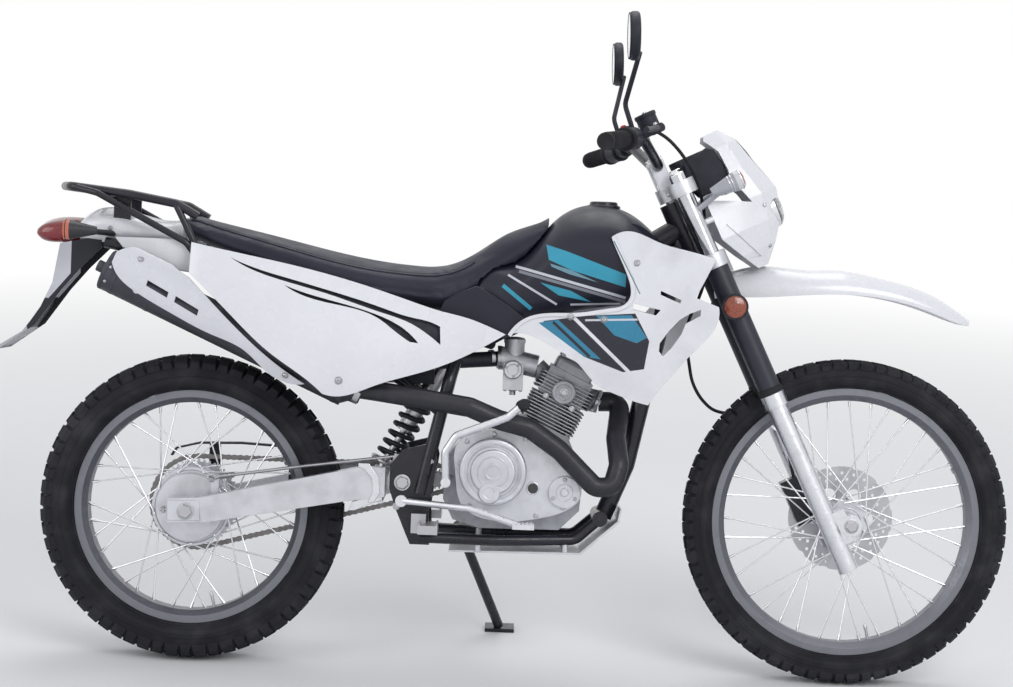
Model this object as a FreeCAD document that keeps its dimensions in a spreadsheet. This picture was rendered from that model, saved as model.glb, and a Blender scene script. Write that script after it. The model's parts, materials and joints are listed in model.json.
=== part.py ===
"""Dual sport motorcycle, parked on its side stand, modelled in millimetres.

Every piece is drawn in the upright motorcycle's own frame: X forward from the rear
axle, Y to the rider's left, Z up from the ground line. The finished pieces are then
leaned to the left onto the side stand, with the floor at Z = 0 and the origin at the
middle of the footprint. Pieces that steer are drawn in the steering frame, whose Z runs
up the steering axis from the lower end of the steering head.
"""
import FreeCAD, Part
import math
import os
import re
import Sketcher

V = FreeCAD.Vector
Placement = FreeCAD.Placement
Rotation = FreeCAD.Rotation

SIZES = (
    # the stance
    ("lean_angle", 9, "degrees that the side stand leans the machine to the left"),
    ("head_x", 1030, "lower end of the steering head ahead of the rear axle"),
    ("head_z", 880, "lower end of the steering head above the ground line"),
    ("rake", 26, "degrees that the steering axis leans back"),
    ("axle_offset", 64, "steering axis to front axle"),
    # wheels
    ("front_tyre_height", 60, "rim flange to the top of the lugs"),
    ("front_crown_radius", 42, "half the front tyre's width"),
    ("front_rim_radius", 279, "to the edge of the rim flange"),
    ("front_rim_seat", 268, "bead seat radius"),
    ("front_rim_inner", 253, "inner radius that carries the nipples"),
    ("front_rim_half", 26, "half the rim's outer width"),
    ("rear_tyre_height", 74, "rim flange to the top of the lugs"),
    ("rear_crown_radius", 56, "half the rear tyre's width"),
    ("rear_rim_radius", 243, "to the edge of the rim flange"),
    ("rear_rim_seat", 231, "bead seat radius"),
    ("rear_rim_inner", 217, "inner radius that carries the nipples"),
    ("rear_rim_half", 34, "half the rim's outer width"),
    ("rim_wall", 3, "wall of both rims"),
    ("front_lug_height", 8, "height of the front tyre's lugs"),
    ("front_lug_half", 12, "half the width of a middle lug"),
    ("front_lug_count", 36, "middle lugs round the front tyre"),
    ("rear_lug_height", 9, "height of the rear tyre's lugs"),
    ("rear_lug_half", 18, "half the width of a middle lug"),
    ("rear_lug_count", 32, "middle lugs round the rear tyre"),
    ("spoke_count", 36, "spokes in each wheel"),
    ("spoke_radius", 1.6, "spoke wire"),
    ("nipple_radius", 3, "spoke nipple"),
    ("nipple_length", 14, "spoke nipple"),
    ("flange_thickness", 5, "hub flange that the spokes hook into"),
    ("front_flange_radius", 46, "front hub flange"),
    ("front_flange_half", 30, "centre plane to front hub flange"),
    ("front_hub_radius", 24, "front hub barrel"),
    ("front_hub_half", 50, "half the front hub's length"),
    ("rear_flange_radius", 82, "rear hub flange"),
    ("rear_flange_half", 28, "centre plane to rear hub flange"),
    ("rear_drum_radius", 72, "brake drum"),
    ("rear_hub_right", 36, "centre plane to the open side of the drum"),
    ("carrier_radius", 46, "boss that carries the sprocket"),
    ("front_axle_radius", 7.5, "front axle"),
    ("rear_axle_radius", 8.5, "rear axle"),
    ("running_fit", 0.05, "radial clearance of a shaft in its bore"),
    # disc brake
    ("disc_gap", 37, "fork tube's centre to the brake disc"),
    ("disc_radius", 110, "front brake disc"),
    ("disc_thickness", 3.5, "front brake disc"),
    ("disc_bore", 30, "bore of the disc on the hub spigot"),
    ("disc_seat", 6, "width of the step that the disc sits on"),
    ("disc_hole", 7, "hole in the brake disc"),
    ("disc_window", 18, "window between the disc's arms"),
    ("caliper_gap", 5, "disc's edge to the calliper's bridge"),
    # chain drive
    ("chain_line", 78, "centre plane to the chain"),
    ("chain_plate_height", 11.8, "height of a link plate"),
    ("chain_inner_width", 8, "gap between the link plates"),
    ("chain_plate", 1.5, "thickness of a link plate"),
    ("link_pitch", 12.7, "pin to pin"),
    ("sprocket_pitch_radius", 97.1, "rear sprocket"),
    ("sprocket_gap", 0.7, "teeth to the inside of the chain"),
    ("tooth_depth", 5, "both sprockets"),
    ("rear_teeth", 48, "rear sprocket"),
    ("drive_teeth", 14, "gearbox sprocket"),
    ("sprocket_window", 15, "hole that lightens the rear sprocket"),
    ("sprocket_thickness", 6.5, "rear sprocket"),
    ("drive_x", 508, "gearbox sprocket ahead of the rear axle"),
    ("drive_z", 388, "gearbox sprocket above the ground line"),
    ("drive_radius", 28.5, "pitch radius of the gearbox sprocket"),
    # fork and bars
    ("fork_offset", 24, "steering axis to the fork tubes"),
    ("fork_half", 93, "centre plane to a fork tube"),
    ("slider_radius", 21, "silver fork slider"),
    ("slider_foot", 84, "front axle to the foot of the slider"),
    ("slider_top", 316, "steering head to the top of the slider"),
    ("collar_radius", 25.5, "collar at the top of the slider"),
    ("cover_radius", 24, "black cover over the fork tube"),
    ("tube_radius", 18, "chromed fork tube"),
    ("tube_above", 14, "upper clamp to the top of the fork tube"),
    ("head_height", 124, "length of the steering head"),
    ("head_radius", 27, "steering head"),
    ("clamp_gap", 4, "steering head to each fork clamp"),
    ("clamp_height", 30, "both fork clamps"),
    ("bar_radius", 11, "handlebar tube"),
    ("bar_rise", 47, "upper clamp to the middle of the handlebar"),
    ("grip_radius", 17, "handlebar grip"),
    ("lamp_level", 32, "steering head to the middle of the headlamp"),
    ("stalk_radius", 6, "stalks of the indicators and arms of the cowl"),
    ("hose_radius", 3.5, "front brake hose"),
    # engine
    ("crank_x", 695, "crankshaft ahead of the rear axle"),
    ("crank_z", 440, "crankshaft above the ground line"),
    ("cylinder_tilt", 25, "degrees that the cylinder leans forward"),
    ("case_half", 62, "half the crankcase's width"),
    ("barrel_radius", 40, "outside of the cylinder barrel"),
    ("fin_half_length", 60, "half the fins along the machine"),
    ("fin_half_width", 62, "half the fins across the machine"),
    ("fin_pitch", 7, "fin to fin"),
    ("fin_thickness", 2.4, "one fin"),
    ("fin_count", 9, "fins on the barrel"),
    ("barrel_base", 78, "crankshaft to the foot of the barrel"),
    ("cover_face", 104, "centre plane to the face of the clutch side cover"),
    ("clutch_radius", 69, "round step of the clutch cover"),
    ("filter_radius", 32, "round cover of the oil filter"),
    # swinging arm
    ("pivot_x", 440, "swinging arm pivot ahead of the rear axle"),
    ("pivot_z", 394, "swinging arm pivot above the ground line"),
    ("pivot_radius", 8, "pivot bolt"),
    ("arm_inner", 92, "centre plane to the inside of an arm"),
    ("arm_width", 30, "width of an arm"),
    ("tyre_room", 31, "rear tyre to the cross piece"),
    # frame
    ("spine_radius", 24, "backbone tube"),
    ("down_radius", 19, "front down tube"),
    ("rail_radius", 11, "seat rails and cradle tubes"),
    ("rail_half", 78, "centre plane to a seat rail"),
    ("twin_radius", 13, "tubes from the backbone down to the pivot plates"),
    ("plate_inner", 98, "centre plane to the inside of a pivot plate"),
    ("plate_thickness", 10, "pivot plate"),
    # side stand
    ("stand_x", 560, "stand pivot ahead of the rear axle"),
    ("stand_y", 126, "stand pivot to the left of the centre plane"),
    ("stand_z", 276, "stand pivot above the ground line"),
    ("stand_forward", 95, "the foot stands ahead of the pivot"),
    ("stand_out", 105, "the foot stands outside the pivot"),
    ("stand_radius", 10.5, "stand leg"),
    ("foot_thickness", 8, "sole of the stand"),
    # bodywork
    ("panel_wall", 4, "moulded body panels"),
    ("tank_room", 5, "fuel tank to the backbone"),
    ("seat_gap", 1.5, "fuel tank to the seat"),
    ("rib_width", 8, "raised rib along the rear edge of a shroud"),
    ("rib_height", 3, "raised rib along the rear edge of a shroud"),
    ("indicator_radius", 20, "lens of an indicator"),
    ("indicator_length", 66, "length of an indicator"),
    ("silencer_radius", 42, "silencer"),
    ("header_radius", 20.5, "exhaust header"),
    ("fender_half", 60, "half the rear fender's width"),
    ("fender_wall", 3, "rear fender's sides"),
    ("rack_radius", 7, "rack stays"),
)

doc = FreeCAD.newDocument("dual_sport_motorcycle")
sheet = doc.addObject("Spreadsheet::Sheet", "Sizes")
for row, (alias, value, note) in enumerate(SIZES, start=1):
    sheet.set(f"A{row}", note)
    sheet.set(f"B{row}", str(value))
    sheet.setAlias(f"B{row}", alias)
doc.recompute()
size = {alias: float(sheet.get(alias)) for alias, _, _ in SIZES}

LEAN = math.radians(size["lean_angle"])
RAKE = math.radians(size["rake"])


def axle_height(side):
    """Ground line to the axle of a wheel that stands on the left edge of its lowest middle lug."""
    half_lug = math.pi / size[f"{side}_lug_count"] / 2
    radius = size[f"{side}_rim_radius"] + size[f"{side}_tyre_height"]
    return radius * math.cos(half_lug) + size[f"{side}_lug_half"] * math.tan(LEAN)


FRONT_AXLE_Z = axle_height("front")
REAR_AXLE_Z = axle_height("rear")
# the front axle lies this far down the steering axis from the head
DROP = (size["head_z"] + size["axle_offset"] * math.sin(RAKE) - FRONT_AXLE_Z) / math.cos(RAKE)
STEER = Placement(V(size["head_x"], 0, size["head_z"]), Rotation(V(0, 1, 0), -size["rake"]))
FRONT_AXLE = STEER.multVec(V(size["axle_offset"], 0, -DROP))
ENGINE = Placement(V(size["crank_x"], 0, size["crank_z"]), Rotation(V(0, 1, 0), size["cylinder_tilt"]))
REAR_WHEEL = Placement(V(0, 0, REAR_AXLE_Z), Rotation())
FRONT_WHEEL = Placement(FRONT_AXLE, Rotation())
UPRIGHT = Placement()

PIECES = []


def bound(text):
    """An expression over the sheet's aliases, each pointed at its cell."""
    return re.sub(r"[a-z_]+", lambda m: f"Sizes.{m[0]}" if m[0] in size else m[0], str(text))


def keep(obj, label, frame=UPRIGHT):
    """Marks an object as a sub-part of the machine, with the frame that it is drawn in."""
    obj.Label = label
    PIECES.append((obj, frame))
    return obj


def feature(label, shape, frame=UPRIGHT):
    """A sub-part from a finished shape."""
    obj = doc.addObject("Part::Feature", label)
    obj.Shape = shape
    return keep(obj, label, frame)


def sketch(body, name, role, points):
    """A closed outline whose corners are bound to the sheet."""
    outline = body.newObject("Sketcher::SketchObject", name)
    plane = [item for item in body.Origin.OriginFeatures if item.Role == role][0]
    outline.AttachmentSupport = [(plane, "")]
    outline.MapMode = "FlatFace"
    count = len(points)
    # the corners start on a circle and their constraints drive them home
    start = [V(math.cos(2 * math.pi * i / count), math.sin(2 * math.pi * i / count),
               0) * 50 for i in range(count)]
    for i in range(count):
        outline.addGeometry(Part.LineSegment(start[i], start[(i + 1) % count]))
    for i in range(count):
        outline.addConstraint(Sketcher.Constraint("Coincident", i, 2, (i + 1) % count, 1))
    for i, corner in enumerate(points):
        for kind, text in zip(("DistanceX", "DistanceY"), corner):
            index = outline.addConstraint(Sketcher.Constraint(kind, -1, 1, i, 1, 10.0))
            outline.setExpression(f"Constraints[{index}]", bound(text))
    return outline


def turned(label, points, frame, keep_it=True):
    """A body turned about the axle line, from corners given as (along the axle, radius)."""
    body = doc.addObject("PartDesign::Body", label)
    outline = sketch(body, label + "_section", "YZ_Plane", points)
    turn = body.newObject("PartDesign::Revolution", label + "_turn")
    turn.Profile = outline
    turn.ReferenceAxis = (outline, ["H_Axis"])
    turn.Angle = 360
    return keep(body, label, frame) if keep_it else body


def rod(a, b, radius):
    """A straight round bar from point to point."""
    a, b = V(*a), V(*b)
    return Part.makeCylinder(radius, (b - a).Length, a, b - a)


def tube(points, radius, bend=0.0, bends=None):
    """A round bar along straight runs joined by tangent arcs, as wide as they fit where no bend is given."""
    points = [V(*p) for p in points]
    edges = []
    start = points[0]
    fixed = bend
    for before, corner, after in zip(points, points[1:], points[2:]):
        back = (before - corner).normalize()
        ahead = (after - corner).normalize()
        half = back.getAngle(ahead) / 2
        shorter = min((before - corner).Length, (after - corner).Length)
        bend = fixed or 0.45 * shorter * math.tan(half)
        if bends is not None:
            bends.append(bend)
        cut = bend / math.tan(half)
        first, last = corner + back * cut, corner + ahead * cut
        middle = (back + ahead).normalize()
        top = corner + middle * (bend / math.sin(half) - bend)
        edges.append(Part.LineSegment(start, first).toShape())
        edges.append(Part.Arc(first, top, last).toShape())
        start = last
    edges.append(Part.LineSegment(start, points[-1]).toShape())
    path = Part.Wire(edges)
    ring = Part.Wire(Part.makeCircle(radius, points[0], points[1] - points[0]))
    return path.makePipeShell([ring], True, False)


def mirrored(shape):
    """The same shape on the other side of the centre plane."""
    return shape.mirror(V(0, 0, 0), V(0, 1, 0))


def both(shape):
    """The shape and its mirror image, as two solids."""
    return Part.makeCompound([shape, mirrored(shape)])


def prism(points, near, far):
    """A flat plate across the machine, from corners given as (forward, up)."""
    corners = [V(x, near, z) for x, z in points]
    return Part.Face(Part.makePolygon(corners + corners[:1])).extrude(V(0, far - near, 0))


def curve(points):
    """A smooth edge through the points."""
    line = Part.BSplineCurve()
    line.interpolate([V(*p) for p in points])
    return line.toShape()


def stretch(points):
    """One stretch of an outline: a straight line, or a smooth curve through its points."""
    if len(points) == 2:
        return Part.LineSegment(V(*points[0]), V(*points[1])).toShape()
    return curve(points)


def cutter(rows, near, far):
    """A prism across the machine, its outline given as stretches of (forward, up)."""
    edges = [stretch([(x, near, z) for x, z in row]) for row in rows]
    return Part.Face(Part.Wire(edges)).extrude(V(0, far - near, 0))


def faceted(faces):
    """A solid from flat faces, each a row of corners."""
    shell = Part.makeShell([Part.Face(Part.makePolygon([V(*p) for p in face] + [V(*face[0])]))
                            for face in faces])
    shell.sewShape()
    return Part.makeSolid(shell)


def shifted(points, distance):
    """A row of (forward, up) points moved sideways, to the right of the way it runs."""
    moved = []
    for i, point in enumerate(points):
        before, after = points[max(i - 1, 0)], points[min(i + 1, len(points) - 1)]
        run = V(after[0] - before[0], after[1] - before[1], 0).normalize()
        moved.append((point[0] + run.y * distance, point[1] - run.x * distance))
    return moved


def smooth_plate(points, near, far):
    """A plate across the machine with a smooth closed outline of (forward, up) points."""
    line = Part.BSplineCurve()
    line.interpolate(Points=[V(x, near, z) for x, z in points], PeriodicFlag=True)
    return Part.Face(Part.Wire(line.toShape())).extrude(V(0, far - near, 0))


def skin(sections, ruled=False):
    """A solid through sections, each a pair of open point rows: outside and inside."""
    wires = []
    for outside, inside in sections:
        outer, inner = curve(outside), curve(inside)
        ends = (Part.LineSegment(V(*outside[-1]), V(*inside[-1])).toShape(),
                Part.LineSegment(V(*inside[0]), V(*outside[0])).toShape())
        wires.append(Part.Wire([outer, ends[0], inner, ends[1]]))
    return Part.makeLoft(wires, True, ruled)


def loft(sections):
    """A smooth solid through closed sections given as rows of points."""
    wires = []
    for points in sections:
        line = Part.BSplineCurve()
        line.interpolate(Points=[V(*p) for p in points], PeriodicFlag=True)
        wires.append(Part.Wire(line.toShape()))
    return Part.makeLoft(wires, True, False)


# wheels


def tyre(side):
    """A knobbly tyre: middle lugs and pairs of shoulder lugs take turns round the carcass."""
    count = int(size[f"{side}_lug_count"])
    lug, half = size[f"{side}_lug_height"], size[f"{side}_lug_half"]
    flange, width = size[f"{side}_rim_radius"], size[f"{side}_crown_radius"]
    top = flange + size[f"{side}_tyre_height"]
    gap = size["rim_wall"] / 10
    # the section's corners as (across, radius) from bead to tread, left half
    bead = (size[f"{side}_rim_half"], flange + gap)
    wall = (width, top - 0.98 * width)
    shoulder = (0.80 * width, top - 0.42 * width)
    tread = (half, top - lug)
    along = V(shoulder[0] - tread[0], shoulder[1] - tread[1], 0).normalize()
    out = (along.y * -lug, along.x * lug)
    block = [(tread[0] + out[0], tread[1] + out[1]), (shoulder[0] + out[0], shoulder[1] + out[1])]
    crown = (half, top)

    def at(corner, turn, sign=1):
        return (math.sin(turn) * corner[1], sign * corner[0], -math.cos(turn) * corner[1])

    def strip(a, b, start, end, sign):
        return [at(a, start, sign), at(b, start, sign), at(b, end, sign), at(a, end, sign)]

    faces = []
    for step in range(2 * count):
        start, end = (step - 0.5) * math.pi / count, (step + 0.5) * math.pi / count
        faces.append([at(bead, start), at(bead, start, -1), at(bead, end, -1), at(bead, end)])
        middle = crown if step % 2 == 0 else tread
        faces.append([at(middle, start), at(middle, start, -1), at(middle, end, -1), at(middle, end)])
        for sign in (-1, 1):
            faces.append(strip(bead, wall, start, end, sign))
            faces.append(strip(wall, shoulder, start, end, sign))
            if step % 2 == 0:
                faces.append(strip(shoulder, tread, start, end, sign))
                faces.append(strip(tread, crown, start, end, sign))
                continue
            faces.append(strip(shoulder, block[1], start, end, sign))
            faces.append(strip(block[1], block[0], start, end, sign))
            faces.append(strip(block[0], tread, start, end, sign))
            for turn in (start, end):
                faces.append([at(corner, turn, sign) for corner in (shoulder, block[1], block[0], tread)])
        if step % 2 == 0:
            for turn in (start, end):
                faces.append([at(tread, turn), at(crown, turn), at(crown, turn, -1), at(tread, turn, -1)])
    return faceted(faces)


def rim_outline(side):
    """Corners of a rim's section: flange, seat and well, with the nipple bed below."""
    seat, inner = f"{side}_rim_seat", f"{side}_rim_inner"
    outside = [(f"{side}_rim_half", f"{side}_rim_radius"),
               (f"{side}_rim_half", f"{seat} - rim_wall"),
               (f"{side}_rim_half * 0.62", f"{inner}")]
    inside = [(f"{side}_rim_half * 0.5", f"{inner} + rim_wall"),
              (f"{side}_rim_half * 0.62", f"{seat}"),
              (f"{side}_rim_half - rim_wall", f"{seat}"),
              (f"{side}_rim_half - rim_wall", f"{side}_rim_radius")]
    half = outside + [(f"-({y})", r) for y, r in reversed(outside)]
    return half + [(f"-({y})", r) for y, r in reversed(inside)] + inside


for side, frame in (("front", FRONT_WHEEL), ("rear", REAR_WHEEL)):
    feature(f"{side}_tyre", tyre(side), frame)
    turned(f"{side}_rim", rim_outline(side), frame)

axle_bore = "front_axle_radius + running_fit"
edge = "front_flange_half + flange_thickness / 2"
foot = "front_flange_half - flange_thickness / 2"
disc_face = "fork_half - disc_gap - disc_thickness / 2"
spigot_end = "fork_half - disc_gap + disc_thickness / 2 + 4"
turned("front_hub", [
    ("-front_hub_half", axle_bore), (spigot_end, axle_bore),
    (spigot_end, "disc_bore - disc_seat"), (disc_face, "disc_bore - disc_seat"),
    (disc_face, "disc_bore"),
    (edge, "disc_bore"), (edge, "front_flange_radius"), (foot, "front_flange_radius"),
    (foot, "front_hub_radius"),
    (f"-({foot})", "front_hub_radius"), (f"-({foot})", "front_flange_radius"),
    (f"-({edge})", "front_flange_radius"), (f"-({edge})", "front_hub_radius"),
    ("-front_hub_half", "front_hub_radius")],
    FRONT_WHEEL)
DISC_LINE = size["fork_half"] - size["disc_gap"]


def ring_of(count, radius, hole, near, far, start=0.0):
    """Rods across the machine, evenly round the axle line."""
    rods = []
    for i in range(count):
        turn = start + 2 * math.pi * i / count
        x, z = radius * math.cos(turn), radius * math.sin(turn)
        rods.append(rod((x, near, z), (x, far, z), hole))
    return rods


def disc():
    """The front brake disc: a drilled ring on arms, with a wavy edge."""
    near, far = DISC_LINE - size["disc_thickness"] / 2, DISC_LINE + size["disc_thickness"] / 2
    outer, inner = size["disc_radius"], size["disc_bore"] - size["disc_seat"]
    plate = rod((0, near, 0), (0, far, 0), outer).cut(rod((0, near, 0), (0, far, 0), inner))
    track = outer - size["disc_window"]
    holes = ring_of(24, track + 4, size["disc_hole"] / 2, near, far)
    holes += ring_of(24, track - 8, size["disc_hole"] / 2, near, far, math.pi / 24)
    windows = ring_of(6, (track - 20 + inner) / 2 + 6, size["disc_window"] - 2, near, far)
    bites = ring_of(12, outer + 11, 14, near, far, math.pi / 12)
    return plate.cut(holes + windows + bites)


feature("front_disc", disc(), FRONT_WHEEL)

axle_bore = "rear_axle_radius + running_fit"
edge = "rear_flange_half + flange_thickness / 2"
foot = "rear_flange_half - flange_thickness / 2"
turned("rear_hub", [
    ("-rear_hub_right", axle_bore), ("chain_line - sprocket_thickness / 2", axle_bore),
    ("chain_line - sprocket_thickness / 2", "carrier_radius"), (edge, "carrier_radius"),
    (edge, "rear_flange_radius"), (foot, "rear_flange_radius"), (foot, "rear_drum_radius"),
    (f"-({foot})", "rear_drum_radius"), (f"-({foot})", "rear_flange_radius"),
    (f"-({edge})", "rear_flange_radius"),
    (f"-({edge})", "rear_drum_radius"), ("-rear_hub_right", "rear_drum_radius")],
    REAR_WHEEL)
CHAIN_NEAR = size["chain_line"] - size["sprocket_thickness"] / 2
CHAIN_FAR = size["chain_line"] + size["sprocket_thickness"] / 2


def toothed(count, tip, bore):
    """A sprocket plate across the machine, with tapered teeth that end at the tip radius."""
    root, step = tip - size["tooth_depth"], 2 * math.pi / count
    corners = []
    for i in range(count):
        for radius, shift in ((root, -0.30), (tip, -0.14), (tip, 0.14), (root, 0.30)):
            turn = (i + shift) * step
            corners.append(V(radius * math.cos(turn), CHAIN_NEAR, radius * math.sin(turn)))
    blank = Part.Face(Part.makePolygon(corners + corners[:1]))
    return blank.extrude(V(0, size["sprocket_thickness"], 0)).cut(rod((0, 0, 0), (0, 2 * CHAIN_FAR, 0), bore))


REAR_TIP = size["sprocket_pitch_radius"] - size["chain_plate_height"] / 2 - size["sprocket_gap"]
rear_plate = toothed(int(size["rear_teeth"]), REAR_TIP, size["rear_axle_radius"] + size["running_fit"])
web = (size["carrier_radius"] + REAR_TIP - size["tooth_depth"]) / 2
rear_plate = rear_plate.cut(ring_of(8, web, size["sprocket_window"] - 2, CHAIN_NEAR, CHAIN_FAR))
feature("rear_sprocket", rear_plate, REAR_WHEEL)


def spokes(side):
    """Spokes laced across each other, inside and outside both hub flanges, trimmed at the rim."""
    count = int(size["spoke_count"])
    flange, half = size[f"{side}_flange_radius"] - 5, size[f"{side}_flange_half"]
    bed = size[f"{side}_rim_inner"]
    wire, nipple = size["spoke_radius"], size["nipple_radius"]
    sweep = math.radians(78 if side == "front" else 52)
    pieces = []
    for i in range(count):
        left = 1 if i % 2 else -1
        outside = (i // 2) % 2
        offset = size["flange_thickness"] / 2 + wire
        y = left * (half + (offset + 2.4 if outside else -offset))
        at_rim = 2 * math.pi * i / count
        at_hub = at_rim + (sweep if outside else -sweep)
        start = V(flange * math.cos(at_hub), y, flange * math.sin(at_hub))
        end = V((bed + 6) * math.cos(at_rim), left * 7, (bed + 6) * math.sin(at_rim))
        run = (end - start).normalize()
        shank = Part.makeCylinder(wire, (end - start).Length - 12, start, run)
        hat = Part.makeCylinder(nipple, size["nipple_length"] + 6, end - run * (size["nipple_length"] + 6),
                                run)
        face = left * (half + size["flange_thickness"] / 2 * (1 if outside else -1))
        elbow = rod((start.x, face, start.z), (start.x, y + (y - face) * 0.4, start.z), wire * 1.3)
        pieces.append(shank.fuse([hat, elbow]))
    trim = Part.makeCylinder(bed, 200, V(0, -100, 0), V(0, 1, 0))
    return Part.makeCompound([piece.common(trim) for piece in pieces])


feature("front_spokes", spokes("front"), FRONT_WHEEL)
feature("rear_spokes", spokes("rear"), REAR_WHEEL)

# fork, steered with the front wheel

LOWER_CLAMP = -size["clamp_gap"] - size["clamp_height"]
UPPER_CLAMP = size["head_height"] + size["clamp_gap"]
CLAMP_TOP = UPPER_CLAMP + size["clamp_height"]
TUBE_TOP = CLAMP_TOP + size["tube_above"]
legs = []
for y in (-size["fork_half"], size["fork_half"]):
    foot = -DROP - size["slider_foot"]
    leg = rod((size["fork_offset"], y, foot), (size["fork_offset"], y, -size["slider_top"] - 30),
              size["slider_radius"])
    collar = rod((size["fork_offset"], y, -size["slider_top"] - 30),
                 (size["fork_offset"], y, -size["slider_top"]),
                 size["collar_radius"])
    inward = 1 if y < 0 else -1
    lug = rod((size["axle_offset"], y - inward * 16, -DROP), (size["axle_offset"], y + inward * 18, -DROP),
              22)
    web = Part.makeBox(size["axle_offset"] - size["fork_offset"], 30, 70,
                       V(size["fork_offset"], y - 15, -DROP - 30))
    bore = rod((size["axle_offset"], y - 40, -DROP), (size["axle_offset"], y + 40, -DROP),
               size["front_axle_radius"])
    legs.append(leg.fuse([collar, lug, web]).removeSplitter().cut(bore))
feature("fork_sliders", Part.makeCompound(legs), STEER)
covers = [rod((size["fork_offset"], y, -size["slider_top"]), (size["fork_offset"], y, LOWER_CLAMP),
              size["cover_radius"])
          for y in (-size["fork_half"], size["fork_half"])]
tubes = [rod((size["fork_offset"], y, LOWER_CLAMP + size["clamp_height"]),
             (size["fork_offset"], y, UPPER_CLAMP),
             size["tube_radius"]) for y in (-size["fork_half"], size["fork_half"])]
tubes += [rod((size["fork_offset"], y, CLAMP_TOP), (size["fork_offset"], y, TUBE_TOP),
              size["tube_radius"]) for y in (-size["fork_half"], size["fork_half"])]
feature("fork_tubes", Part.makeCompound(covers + tubes), STEER)


def clamp(low):
    """A fork clamp: two round lugs joined to the steering stem's boss."""
    reach, half = size["fork_offset"], size["fork_half"]
    height = size["clamp_height"]
    parts = [rod((reach, y, low), (reach, y, low + height), size["tube_radius"] + 12) for y in (-half, half)]
    parts.append(rod((0, 0, low), (0, 0, low + height), 24))
    parts.append(Part.makeBox(36, 2 * half, height - 6, V(reach - 24, -half, low + 3)))
    return parts[0].fuse(parts[1:]).removeSplitter()


stem_radius = 12
stem = rod((0, 0, -size["clamp_gap"]), (0, 0, UPPER_CLAMP), stem_radius)
axle_end = size["fork_half"] + 24
feature("front_axle", rod((size["axle_offset"], -axle_end, -DROP), (size["axle_offset"], axle_end, -DROP),
                          size["front_axle_radius"]), STEER)

BAR_Z = CLAMP_TOP + size["bar_rise"]
BAR = [(0, 70, BAR_Z), (-16, 190, BAR_Z + 63), (-98, 400, BAR_Z + 79)]
bar_points = [(x, -y, z) for x, y, z in reversed(BAR)] + BAR
handlebar = tube(bar_points, size["bar_radius"], 60)
feature("handlebar", handlebar, STEER)
risers = [Part.makeBox(30, 26, size["bar_rise"] + 7, V(-15, y - 13, CLAMP_TOP - 4)) for y in (-40, 40)]
clamps = stem.fuse([clamp(LOWER_CLAMP), clamp(UPPER_CLAMP)] + risers).removeSplitter()
feature("fork_clamps", clamps.cut(rod((0, -80, BAR_Z), (0, 80, BAR_Z), size["bar_radius"])), STEER)


def along_bar(distance):
    """A point on the outer stretch of the handlebar, measured inward from its right end."""
    end, inner = V(*bar_points[0]), V(*bar_points[1])
    return end + (inner - end).normalize() * distance


def sleeve(start, end, radius):
    """A sleeve round the handlebar's right end."""
    a, b = along_bar(start), along_bar(end)
    return rod(a, b, radius).cut(rod(a, b, size["bar_radius"]))


grip = rod(along_bar(-8), along_bar(118), size["grip_radius"])
grip = grip.cut(rod(along_bar(0), along_bar(118), size["bar_radius"]))
feature("grips", both(grip), STEER)
lever_start = along_bar(186)
perch = sleeve(172, 196, 17)
perch = perch.fuse(Part.makeBox(32, 20, 16, V(lever_start.x + 8, lever_start.y - 10, lever_start.z - 8)))
lever = rod((lever_start.x + 50, lever_start.y, lever_start.z),
            (lever_start.x + 10, lever_start.y - 185, lever_start.z + 2), 6)
perch = perch.fuse(rod((lever_start.x + 36, lever_start.y + 8, lever_start.z),
                       (lever_start.x + 54, lever_start.y - 16, lever_start.z), 9)).fuse(lever)
perch = perch.cut(handlebar)
reservoir = rod((lever_start.x + 36, lever_start.y + 30, lever_start.z - 4),
                (lever_start.x + 36, lever_start.y + 30, lever_start.z + 32), 21)
reservoir = reservoir.cut(handlebar)
feature("bar_controls", Part.makeCompound([perch.fuse(reservoir), mirrored(perch), sleeve(122, 168, 22),
                                           mirrored(sleeve(122, 168, 22))]), STEER)


def mirror_head():
    """A mirror shell on its stem, right side."""
    low = along_bar(184)
    top = V(38, -300, 420)
    stem = tube([(low.x, low.y, low.z + size["bar_radius"] + 2), (low.x + 6, low.y - 4, low.z + 70),
                 (top.x, top.y, top.z)], 5, 25).cut(perch)
    oval = Part.Ellipse(V(62, 0, 0), V(0, 48, 0), V(0, 0, 0))
    shell = Part.Face(Part.Wire(oval.toShape())).extrude(V(0, 0, 20))
    shell = shell.makeFillet(7, [edge for edge in shell.Edges if edge.Curve.TypeId == "Part::GeomEllipse"])
    turn = Rotation(V(0, 1, 0), 24).multiply(Rotation(V(0, 1, 0), V(0, 0, 1), V(1, 0, 0), "ZXY"))
    shell.Placement = Placement(V(top.x - 8, top.y - 22, top.z + 36), turn)
    return stem.fuse(shell)


feature("mirrors", both(mirror_head()), STEER)

# nose


# level up the steering axis, then (ahead of it, half width) of the front, the shoulder and the rear edge
COWL = ((224, (146, 20), (138, 34), (112, 40)), (190, (171, 32), (150, 52), (96, 62)),
        (134, (186, 40), (156, 66), (58, 84)), (68, (207, 46), (172, 74), (58, 92)),
        (13, (196, 44), (164, 74), (58, 94)), (-35, (163, 36), (146, 62), (84, 82)),
        (-72, (132, 26), (126, 42), (106, 60)))
# open sides of the cowl, above a slot that ends behind the lamp
COWL_WINDOW = [(20, 240), (96, 232), (111, 208), (126, 181), (128, 140), (124, 112), (138, 86), (146, 60),
               (96, 84),
               (56, 101), (20, 108)]
COWL_RECESS = [(78, 40), (121, -51), (97, -45), (74, 6)]


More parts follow.
